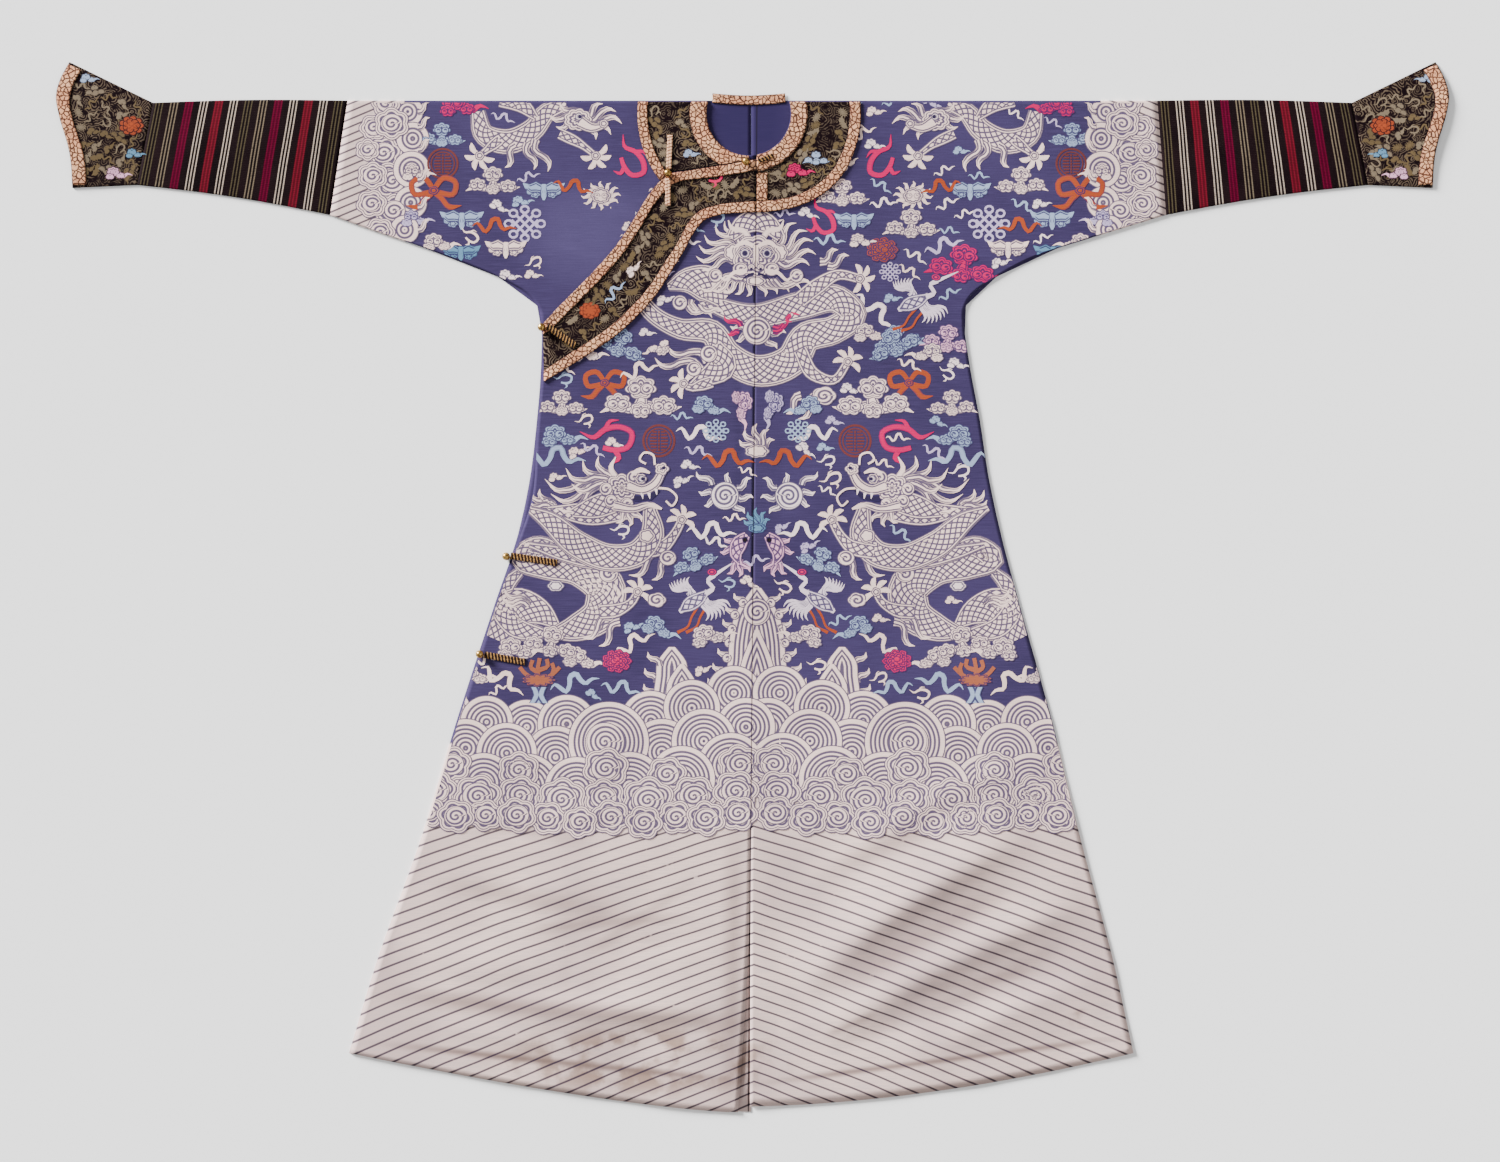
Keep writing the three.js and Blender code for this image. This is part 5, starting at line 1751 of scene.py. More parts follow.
@dataclass
class Motifs:
    """The small figures of the design, each drawn about its own centre in chart units."""

    def ruyi(self, brush: Brush, x: float, y: float, r: float, level: float = 0.0) -> None:
        """A cloud head: a lobed patch, with two curls that turn towards each other."""
        brush.disc(x, y, r, r * 0.74, CLOUD, level, lobes=7, depth=0.2, turn=-90)
        brush.disc(x - r * 0.36, y + r * 0.1, r * 0.42, r * 0.36, SPIRAL, level + 1)
        brush.disc(x + r * 0.36, y + r * 0.1, r * 0.42, r * 0.36, SPIRAL, level + 1)

    def cloud(self, brush: Brush) -> None:
        """A long cloud: one high head between two low ones, with a stem and trailing ends."""
        brush.ribbon([(-34, 9), (-22, 4), (-8, 6), (6, 3), (20, 7), (34, 4)], [0.5, 7, 9, 9, 7, 0.5])
        self.ruyi(brush, -19, 1, 12, 1)
        self.ruyi(brush, 19, 3, 12, 1)
        brush.ribbon([(0, 2), (1, -5), (-1, -11)], [12, 9, 10], level=2)
        self.ruyi(brush, 0, -12, 14, 3)
        self.ruyi(brush, 0, 7, 10, 4)

    def small_cloud(self, brush: Brush) -> None:
        """A short cloud with one tail."""
        brush.ribbon([(4, 3), (14, 7), (22, 2), (31, 5)], [8, 7, 4, 0.4])
        self.ruyi(brush, 9, 5, 9, 1)
        self.ruyi(brush, -4, -2, 13, 2)
        self.ruyi(brush, -10, 7, 9, 4)

    def scroll(self, brush: Brush) -> None:
        """A ribbon that winds three times and curls at one end."""
        path = [
            (-30, 1), (-24, -4), (-18, 2), (-13, 8), (-7, 2), (-3, -8), (4, -9), (7, -1), (12, 5), (20, 2),
            (29, 4),
        ]
        brush.ribbon(path, [0.5, 4, 5, 5, 6, 6, 5, 4, 0.5])

    def bow(self, brush: Brush) -> None:
        """A knotted sash: two loops and two ends."""
        for side in (-1, 1):
            loop = [(0, -2), (side * 9, -12), (side * 19, -8), (side * 17, 2), (side * 6, 1), (0, -1)]
            brush.ribbon(loop, [4, 5, 5, 5, 4], level=1)
            brush.ribbon([(0, 0), (side * 7, 6), (side * 13, 13), (side * 24, 12)], [4, 6, 5, 0.5])
        brush.disc(0, -1, 5, 4, level=3, lobes=5)

    def loop_scroll(self, brush: Brush) -> None:
        """A bent sash with a flame at its end."""
        loop = [(-26, -8), (-14, -3), (-4, -10), (9, -12), (19, -7), (16, 5), (4, 8), (-6, 6)]
        brush.ribbon(loop, [0.5, 4, 5, 6, 5, 5, 4])
        brush.ribbon([(4, 8), (8, 15), (2, 20)], [4, 4, 0.5])
        brush.ribbon([(-4, -10), (0, -17), (8, -18)], [4, 3, 0.5])

    def bat(self, brush: Brush) -> None:
        """A bat: two scalloped wings, a body and a tail."""
        for side in (-1, 1):
            wing = [(0, 0), (side * 7, -5), (side * 15, -4), (side * 22, -9)]
            brush.ribbon(wing, [5, 12, 9, 0.5], level=1)
            brush.disc(side * 9, 3, 6, 4.5, level=0, lobes=5, depth=0.25)
            brush.disc(side * 15, 0, 4, 4, level=0, lobes=5, depth=0.25)
        brush.ribbon([(0, -8), (0, 0), (0, 9)], [4, 8, 2], level=2)

    def leaf_spray(self, brush: Brush) -> None:
        """A leaf fan with two side leaves."""
        for turn, reach in ((-150, 17), (-120, 20), (-90, 22), (-60, 20), (-30, 17)):
            angle = math.radians(turn)
            brush.flame(0, 6, reach * math.cos(angle), 6 + reach * math.sin(angle), 8, 1)
        brush.disc(0, 7, 11, 6, level=2, lobes=7)

    def flower(self, brush: Brush) -> None:
        """A flower: rings of petals, each of them a lobed disc."""
        for count, ring, size, level in ((9, 15, 7, 0), (7, 9, 7, 2), (4, 3.5, 5.5, 4)):
            for k in range(count):
                angle = math.tau * k / count
                x, y = ring * math.cos(angle), 0.78 * ring * math.sin(angle)
                brush.disc(x, y, size, size * 0.8, level=level, lobes=5)

    def medallion(self, brush: Brush) -> None:
        """A round longevity medallion: a ring with bars across and down inside it."""
        t = np.linspace(0.1, math.tau + 0.1, 33)
        for radius, width in ((15.5, 2.2), (12.2, 1.4)):
            brush.ribbon(list(zip(radius * np.cos(t), radius * np.sin(t))), [width, width])
        for k in range(-3, 4):
            reach = math.sqrt(130 - (3 * k) ** 2)
            for side in (-1, 1):
                brush.ribbon([(side * 2.0, 3 * k), (side * (2.4 + 0.6 * reach), 3 * k)], [1.7, 1.7], level=1)
            brush.ribbon([(0, 3 * k - 1.2), (0, 3 * k + 1.2)], [2.0, 2.0], level=2)

    def knot(self, brush: Brush) -> None:
        """An endless knot: a slanting lattice of three bars each way, with a loop at each end and corner."""
        for k in (-1, 0, 1):
            for side in (-1, 1):
                bar = [(5 * k - 9 * side, 5 * side * k + 9), (5 * k + 9 * side, 5 * side * k - 9)]
                brush.ribbon(bar, [2.6] * 3, level=k * side)
        t = np.linspace(0, math.tau, 13)
        for x, y in ((0, -15), (0, 15), (-17, 0), (17, 0), (-12, -11), (12, -11), (-12, 11), (12, 11)):
            brush.ribbon(list(zip(x + 4.2 * np.cos(t), y + 3.6 * np.sin(t))), [2.4] * 3, level=2)

    def rays(self, brush: Brush) -> None:
        """A small sun with pointed rays and a face of two curls."""
        for k in range(12):
            x, y = math.cos(math.tau * k / 12), math.sin(math.tau * k / 12)
            brush.flame(5 * x, 4 * y, 19 * x, 14 * y, 5)
        brush.disc(0, 0, 10, 8, level=1, lobes=8)
        brush.swirl(-3.4, 0, 3, 2)
        brush.swirl(3.4, 0, 3, 2)

    def crane(self, brush: Brush) -> None:
        """A flying crane: spread wings, long neck and beak, red crown and trailing legs."""
        for k in range(7):
            angle = math.radians(205 + 9 * k)
            tip_x, tip_y = -3 - 26 * math.cos(angle - math.pi), -5 + 26 * math.sin(angle) * 0.45 - 3
            brush.flame(-3 - k, -2, tip_x, tip_y, 5, 1)
            out = math.radians(28 + 11 * k)
            brush.flame(6, -1, 9 + 24 * math.cos(out), -3 + 24 * math.sin(out), 5, 1)
        brush.ribbon([(-17, 13), (-8, 6), (2, 0), (9, -6)], [3, 14, 13, 5], SCALES, 3)
        brush.ribbon([(7, -4), (14, -9), (9, -16), (15, -21)], [5, 4, 3.5, 5], level=4)
        brush.ribbon([(15, -21), (24, -27), (33, -33)], [3.5, 2.4, 0.6], level=5)
        brush.disc(13, -24, 5, 3.5, level=6, tint=Tint.ROSE)
        for shift in (0, 8):
            leg = [(shift, 8), (shift - 6, 18), (shift - 9, 26), (shift - 19, 32)]
            brush.ribbon(leg, [2.4, 2, 2, 3], tint=Tint.ORANGE)

    def fish(self, brush: Brush) -> None:
        """A leaping fish, with scales and a fanned tail."""
        brush.fan(1, 8, ((-12, 22), (0, 25), (11, 20)), 8)
        brush.ribbon([(1, 12), (-3, 3), (0, -8), (8, -17)], [5, 14, 17, 9], SCALES, 2)
        brush.flame(-6, -2, -19, 0, 8, 1)
        brush.flame(-5, -8, -15, -14, 7, 1)
        brush.disc(6, -12, 3, level=4, tint=Tint.INK)

    def coral(self, brush: Brush) -> None:
        """Coral in a low vase."""
        for path in (
            [(0, 4), (-1, -6), (1, -18)], [(-1, -4), (-8, -9), (-6, -16)], [(0, -6), (9, -10), (8, -17)],
            [(-3, 4), (-14, -3), (-19, -9)], [(3, 4), (14, -2), (21, -9)], [(14, -2), (15, -8), (13, -13)],
        ):
            brush.ribbon(path, [5, 4, 4], tint=Tint.RUST)
        brush.disc(0, 4, 18, 7, level=1, lobes=11, depth=0.25, tint=Tint.RUST)
        brush.ribbon([(0, 11), (0, 16), (0, 27)], [17, 11, 20], RINGS, 2, Tint.PALE_BLUE)

    def pearl(self, brush: Brush) -> None:
        """A flaming pearl."""
        for x, y in ((-26, -22), (-24, -4), (-19, 9), (24, -16), (18, 16), (3, -21), (26, 2)):
            brush.flame(x * 0.45, y * 0.45, x, y, 7)
        brush.swirl(0, 0, 13, 2)

    def claw(self, brush: Brush, x: float, y: float, turn: float, level: float = 0.0) -> None:
        """A dragon's foot: five hooked toes round a pad."""
        for spread in (-95, -48, 0, 48, 105):
            angle = math.radians(turn + spread)
            bend = angle + 0.7 * (1 if spread > 0 else -1)
            tip_x, tip_y = x + 11 * math.cos(angle), y + 11 * math.sin(angle)
            hook = (tip_x + 5 * math.cos(bend), tip_y + 5 * math.sin(bend))
            brush.ribbon([(x, y), (tip_x, tip_y), hook], [4.5, 4, 6, 1], level=level)
        brush.disc(x, y, 5, level=level + 1, lobes=5)

    def limb(self, brush: Brush, path: Path, turn: float, level: float, width: float = 13) -> None:
        """A dragon's leg with its claw, which points along turn."""
        brush.ribbon(path, [width, width, width * 0.7, width * 0.6], SCALES, level)
        self.claw(brush, *path[-1], turn, level + 1)


@dataclass
class Dragons:
    """The large dragons of the design."""

    motifs: Motifs

    def front_head(self, brush: Brush) -> None:
        """A dragon's face from the front, about its own nose."""
        for x, y, width in (
            (-44, -40, 8), (-56, -29, 8), (-62, -18, 9), (-65, -6, 9), (-60, 6, 9), (-34, -44, 7),
            (44, -42, 8), (56, -33, 8), (62, -22, 9), (65, -8, 9), (58, 4, 9), (30, -46, 7),
        ):
            brush.flame(x * 0.4, y * 0.35 - 2, x, y, width)
        brow = [(-27, -26), (-14, -40), (0, -45), (14, -40), (27, -26)]
        brush.ribbon(brow, [12, 22, 26, 22, 12], SCALES, 1)
        for side in (-1, 1):
            brush.disc(side * 24, -10, 12, 11, level=2, lobes=7)
            horn = [(side * 6, -22), (side * 13, -33), (side * 27, -37), (side * 30, -45)]
            brush.ribbon(horn, [7, 6, 5, 1], level=3)
            for k in range(5):
                brush.flame(side * (4 + 4 * k), 19, side * (10 + 13 * k), 38 - 2.5 * k, 8, 3)
            whisker = [(side * 10, 10), (side * 24, 12), (side * 34, 20), (side * 42, 12)]
            brush.ribbon(whisker, [5, 4, 3, 1], level=6)
            brush.swirl(side * 44, 15, 8, 5)
        brush.disc(0, -6, 27, 24, CLOUD, 4, lobes=9, depth=0.1)
        for side in (-1, 1):
            brush.disc(side * 12, -10, 9.5, 8, level=5, lobes=6)
            brush.disc(side * 12, -9, 5.5, level=6, tint=Tint.WHITE)
            brush.disc(side * 12, -9, 2.4, level=7, tint=Tint.DEEP_BLUE)
            brush.ribbon([(side * 3, -17), (side * 13, -21), (side * 24, -15)], [4, 5, 2], level=7)
            brush.disc(side * 17, 8, 9, 8, level=5, weave=SPIRAL)
            brush.disc(side * 5, 6, 4.5, 4, level=8)
            brush.disc(side * 5, 8, 1.7, level=9, tint=Tint.DEEP_BLUE)
            lip = [(side * 2, 13), (side * 9, 15), (side * 15, 20)]
            brush.ribbon(lip, [3, 2.4, 1], level=8, tint=Tint.DEEP_BLUE)
        brush.ribbon([(0, -18), (0, -6), (0, 6)], [5, 6, 11], level=7)
        brush.disc(0, 21, 12, 6, level=7, lobes=5)

    def frontal(self, brush: Brush) -> None:
        """The dragon of the chest, coiled about a pearl, with its face to the front."""
        self.motifs.pearl(brush.at(Place(757, 331, 1.12), 2))
        flames = ((741, 327, 724, 316), (739, 333, 727, 334), (773, 327, 800, 315), (773, 331, 792, 322))
        brush.flames(flames, 7, 5, Tint.MAGENTA)
        body = [
            (700, 300), (755, 316), (800, 306), (838, 300), (853, 315), (834, 330), (806, 338), (792, 360),
            (757, 371), (727, 355), (712, 333), (680, 329), (655, 316), (640, 300),
        ]
        brush.spines(body, [14, 20, 24, 27, 27, 26, 27, 30, 30, 28, 25, 20, 15, 13], 3)
        brush.spines([(668, 287), (688, 281), (708, 285), (724, 300)], [8, 24, 34, 20], 6)
        brush.swirl(680, 303, 8, 9)
        brush.flames(((688, 306, 712, 318), (700, 306, 724, 315), (692, 300, 696, 314)), 7, 5)
        flames = ((708, 362, 667, 345), (700, 370, 655, 358), (801, 396, 786, 414), (822, 394, 798, 419))
        brush.flames(flames, 11, 6)
        brush.ribbon([(716, 345), (722, 366), (706, 378), (690, 388)], [14, 30, 20, 9], SCALES, 8)
        brush.swirl(709, 354, 9, 11)
        brush.swirl(694, 369, 8, 11)
        self.motifs.limb(brush, [(712, 382), (699, 386), (690, 388), (684, 384)], 205, 9)
        self.motifs.limb(brush, [(800, 350), (813, 374), (834, 380), (848, 362)], -75, 8, 15)
        brush.disc(824, 396, 13, 10, weave=SPIRAL, level=9, lobes=5)
        brush.flames(((820, 262, 838, 250), (828, 266, 849, 256)), 10, 6)
        self.motifs.limb(brush, [(800, 300), (818, 286), (838, 275), (860, 279)], 0, 8, 17)
        self.front_head(brush.at(Place(756, 262, 0.92), 12))

    def side_head(self, brush: Brush) -> None:
        """A dragon's head from the side, which looks to the chart's right."""
        mane = ((545, 479), (551, 494), (566, 468), (583, 460), (556, 508), (572, 484), (599, 456))
        for k, tip in enumerate(mane):
            brush.flame(614, 490, *tip, 10, k % 3)
        brush.ribbon([(572, 513), (596, 507), (618, 500)], [10, 24, 24], SCALES, 1)
        brush.ribbon([(618, 480), (611, 468), (616, 457)], [7, 5, 1], level=4)
        brush.disc(622, 488, 18, 15, CLOUD, 4, lobes=8, depth=0.16)
        for curl in ((606, 489, 7), (611, 501, 7), (627, 504, 7), (634, 478, 8)):
            brush.swirl(*curl, 5)
        brush.ribbon([(634, 498), (648, 498), (659, 490)], [6, 7, 3], level=5, tint=Tint.DEEP_BLUE)
        brush.ribbon([(614, 506), (634, 509), (650, 505), (662, 509)], [11, 9, 8, 2], level=6)
        brush.ribbon([(628, 486), (643, 490), (655, 484), (662, 472)], [13, 11, 11, 9], level=7)
        for x, y in ((642, 493), (649, 493), (656, 489)):
            brush.ribbon([(x, y), (x + 1, y + 6)], [3.4, 0.5], level=8, tint=Tint.WHITE)
        brush.disc(662, 469, 8, 7, CLOUD, 8, lobes=5, depth=0.2)
        brush.disc(664, 468, 1.8, level=9, tint=Tint.DEEP_BLUE)
        brush.disc(641, 479, 6.5, 6, level=8, lobes=6)
        brush.disc(642, 479, 3.8, level=9, tint=Tint.WHITE)
        brush.disc(643, 479, 1.9, level=10, tint=Tint.DEEP_BLUE)
        brush.ribbon([(632, 474), (641, 470), (650, 473)], [3, 5, 2], level=9)
        brush.fan(630, 508, ((616, 523), (629, 527), (642, 522)), 8, 5)
        brush.ribbon([(655, 465), (653, 455), (644, 453), (640, 460), (646, 464)], [2.2, 2.0], level=6)
        brush.ribbon([(658, 488), (670, 490), (677, 498), (672, 506), (666, 501)], [2.2, 2.0], level=6)

    def rearing(self, brush: Brush) -> None:
        """The dragon of the chart's left side, with its loops and its head turned up to the middle."""
        brush.fan(554, 512, ((530, 490), (540, 489), (527, 500)), 10, 1)
        low = [(548, 634), (514, 626), (500, 603), (508, 584), (520, 572)]
        brush.ribbon([(498, 640), (515, 606), (540, 612), (560, 628)], [26, 38, 30, 6], SCALES, 2)
        brush.spines(low[::-1], [10, 18, 22, 20, 8], 1)
        third = [
            (572, 554), (535, 548), (522, 558), (545, 566), (580, 570), (606, 590), (600, 614), (576, 628),
            (548, 634),
        ]
        brush.spines(third, [5, 20, 24, 26, 32, 38, 34, 24, 5], 3)
        brush.fan(528, 606, ((505, 589), (502, 596), (506, 602)), 8, 6)
        second = [(526, 508), (548, 520), (578, 545), (612, 558), (640, 552), (652, 536), (650, 508)]
        brush.spines([(530, 545), (560, 553), (592, 560), (622, 558), (646, 545)], [6, 14, 16, 16, 8], 6)
        brush.spines(second, [5, 20, 26, 26, 24, 22, 10], 8)
        brush.ribbon([(548, 510), (590, 514), (634, 514)], [8, 24, 10], SCALES, 7)
        brush.disc(556, 586, 9, 6, level=8, lobes=6, tint=Tint.WHITE)
        brush.flames(((664, 553, 629, 575), (670, 558, 652, 580)), 10, 8)
        self.motifs.limb(brush, [(640, 552), (664, 546), (676, 532), (682, 520)], -80, 9, 16)
        brush.disc(647, 536, 9, 8, level=11, lobes=5)
        brush.disc(668, 558, 9, 8, weave=SPIRAL, level=10)
        brush.disc(609, 574, 10, 9, level=7, weave=SPIRAL)
        brush.flames(((612, 617, 583, 638), (620, 622, 599, 646)), 10, 5)
        self.motifs.limb(brush, [(600, 612), (618, 610), (632, 602), (638, 592)], -75, 7, 15)
        brush.disc(657, 600, 10, 8, level=8, weave=SPIRAL, lobes=5)
        self.side_head(brush.at(brush.place, 14))

    def shoulder(self, brush: Brush) -> None:
        """The dragon of the shoulder, cut by its fold."""
        brush.fan(582, 119, ((560, 103), (549, 115), (556, 127), (603, 104)), 10, 4)
        brush.fan(582, 119, ((616, 112), (622, 124), (611, 135), (596, 140)), 10, 4)
        body = [(478, 112), (484, 134), (508, 142), (533, 130), (548, 112), (566, 104)]
        brush.spines(body, [14, 20, 22, 20, 18, 14], 1)
        brush.ribbon([(500, 100), (520, 104), (536, 118)], [16, 18, 8], SCALES, 4)
        brush.disc(578, 120, 15, 12, CLOUD, 7, lobes=9)
        brush.ribbon([(580, 122), (592, 128), (604, 126)], [14, 11, 7], level=8)
        brush.disc(579, 117, 4, level=9, tint=Tint.WHITE)
        brush.disc(580, 117, 1.9, level=10, tint=Tint.DEEP_BLUE)
        brush.disc(604, 124, 5, level=9, lobes=5)
        self.motifs.limb(brush, [(500, 140), (490, 148), (480, 156)], 120, 5, 12)
        self.motifs.limb(brush, [(560, 134), (580, 144), (596, 156)], 60, 5, 12)
        brush.flames(((536, 140, 548, 172), (528, 144, 534, 170), (516, 146, 505, 168)), 10, 4)


@dataclass
class Waves:
    """The band of standing water over the skirt: peaks, hills of water and curling clouds."""

    brush: Brush
    hills: tuple = (
        (
            (446, 716, 28), (487, 722, 27), (527, 727, 28), (567, 724, 30), (651, 721, 31), (692, 708, 29),
            (734, 693, 28),
        ),
        (
            (466, 748, 30), (507, 753, 31), (556, 757, 32), (609, 742, 41), (662, 752, 34), (704, 741, 33),
            (746, 727, 30),
        ),
        (
            (442, 777, 30), (484, 783, 31), (528, 786, 33), (577, 789, 33), (630, 787, 36), (682, 779, 34),
            (731, 766, 34),
        ),
    )
    curls: tuple = (
        ((452, 764, 19), (519, 770, 20), (606, 768, 22), (667, 774, 19), (740, 764, 21)),
        (
            (436, 790, 21), (478, 796, 23), (520, 795, 21), (562, 799, 23), (604, 797, 20), (648, 800, 25),
            (694, 796, 22), (736, 791, 22),
        ),
        (
            (430, 812, 16), (456, 816, 18), (486, 815, 17), (517, 815, 19), (548, 818, 18), (580, 822, 17),
            (611, 817, 19), (644, 822, 18), (676, 817, 18), (706, 818, 19), (738, 813, 19),
        ),
    )
    spray: tuple = (
        (742, 600), (734, 612), (731, 626), (728, 640), (726, 655), (721, 670), (716, 685), (711, 698),
    )

    def draw(self) -> None:
        """Draws the whole band, from back to front: rocks, spray, hills of water and clouds."""
        middle = self.brush.at(Place())
        middle.ribbon([(757, 588), (757, 716)], [10, 44, 56, 60, 74, 96], RINGS, 1)
        middle.ribbon([(757, 630), (757, 716)], [6, 30, 44, 58], RINGS, 2)
        for brush in self.brush.both():
            brush.ribbon([(672, 647), (672, 720)], [8, 30, 33, 37, 41, 44], RINGS, 1)
            brush.ribbon([(682, 664), (682, 720)], [6, 30, 33, 36], RINGS, 2)
            for x, y in self.spray:
                brush.flame(x + 5, y + 6, x - 8, y - 7, 8)
                brush.swirl(x + 1, y + 3, 5, 1)
            for x, y in ((655, 660), (652, 676), (651, 692), (658, 704), (712, 700)):
                brush.flame(x + 5, y + 6, x - 7, y - 8, 8, 1)
        middle.swirl(757, 612, 14, 5)
        for row, hills in enumerate(self.hills):
            for k, hill in enumerate(hills):
                for brush in self.brush.both():
                    brush.disc(*hill, weave=RINGS, level=4 + 4 * row + 2 * (k % 2))
        for brush in self.brush.both():
            brush.swirl(605, 742, 20, 11)
        for row, curls in enumerate(self.curls):
            for k, (x, y, r) in enumerate(curls):
                for brush in self.brush.both(20 + 4 * row + 2 * (k % 2)):
                    brush.curl(x, y, r, 1.12, x * 7.0)


@dataclass
class SleeveWaves:
    """The small band of water and clouds at each upper sleeve's end. Hills are drawn first, then clouds."""

    brush: Brush
    hills: tuple = ((408, 112, 16), (413, 139, 17), (412, 170, 19), (411, 203, 17), (405, 230, 15))
    curls: tuple = (
        (392, 124, 17), (384, 153, 18), (393, 181, 20), (373, 176, 15), (394, 211, 18), (372, 204, 15),
        (380, 232, 15), (374, 128, 14), (386, 104, 14), (368, 150, 12),
    )

    def draw(self) -> None:
        """Draws both ends, from back to front."""
        for k, (x, y, r) in enumerate(self.hills + self.curls):
            for brush in self.brush.both(2 * (k % 6)):
                if k < len(self.hills):
                    brush.disc(x, y, r, weave=RINGS)
                else:
                    brush.curl(x, y, r, 1.1, y * 7.0)
        for y in (108, 124, 146, 176, 204, 226):
            for brush in self.brush.both(14):
                brush.flame(418, y + 4, 430, y - 6, 7)


@dataclass
class Fillers:
    """Small scrolls and cloud heads that fill the gaps between the larger figures."""

    brush: Brush
    seed: int = 5
    trials: int = 9000
    clear: tuple[int, int] = (8, 5)
    sizes: tuple[float, float] = (0.36, 0.5)
    across: Spot = (430, 1085)
    down: Spot = (100, 738)
    underlap: tuple = ((535, 705), (90, 340))
    margin: float = 14
    reach: float = 440
    kinds: tuple[str, ...] = ("scroll", "small_cloud", "scroll", "loop_scroll", "small_cloud")
    tints: tuple[Tint, ...] = (Tint.CREAM, Tint.WHITE, Tint.CREAM, Tint.PALE_BLUE, Tint.WHITE, Tint.LAVENDER)

    def mark(self, taken: Array, first: int) -> None:
        """Marks the chart places of the brush's grids, from number first on, in a raster of chart units."""
        for x, y, *_ in self.brush.grids[first:]:
            across, down = (part.ravel().astype(int) for part in to_chart(x, y))
            taken[np.clip(down, 0, len(taken) - 1), np.clip(across, 0, taken.shape[1] - 1)] = True

    def plain(self, x: float, y: float) -> bool:
        """Whether a place is on the underlap, which is left plain, or off the blue."""
        (left, right), (top, bottom) = self.underlap
        slant = top + 20 + 1.55 * (right - x)
        underlap = left < x < right and top < y < min(bottom, slant)
        out_x, out_y = to_robe(x, y)
        side = Side.LEFT if out_x > 0 else Side.RIGHT
        return underlap or abs(out_x) > min(FORM.outer_x(side, np.array(out_y)) - self.margin, self.reach)

    def draw(self) -> None:
        """Tries seeded places, and draws where nothing is near."""
        rng = np.random.default_rng(self.seed)
        taken = np.zeros((1000, 1500), bool)
        self.mark(taken, 0)
        wide, high = self.clear
        for _ in range(self.trials):
            x, y = rng.uniform(*self.across), rng.uniform(*self.down)
            kind, tint = rng.integers(len(self.kinds)), rng.integers(len(self.tints))
            size, turn = rng.uniform(*self.sizes), rng.uniform(-35, 35)
            around = slice(int(y) - high, int(y) + high), slice(int(x) - wide, int(x) + wide)
            if self.plain(x, y) or taken[around].any():
                continue
            first = len(self.brush.grids)
            spot = self.brush.at(Place(x, y, size, turn), 2.0, self.tints[tint])
            getattr(Motifs(), self.kinds[kind])(spot)
            self.mark(taken, first)


class Entry(NamedTuple):
    """One motif of the chart. A mirrored one is drawn on both sides of the middle."""

    kind: str
    x: float
    y: float
    size: float = 1.0
    turn: float = 0.0
    tint: Tint = Tint.CREAM
    both: bool = True


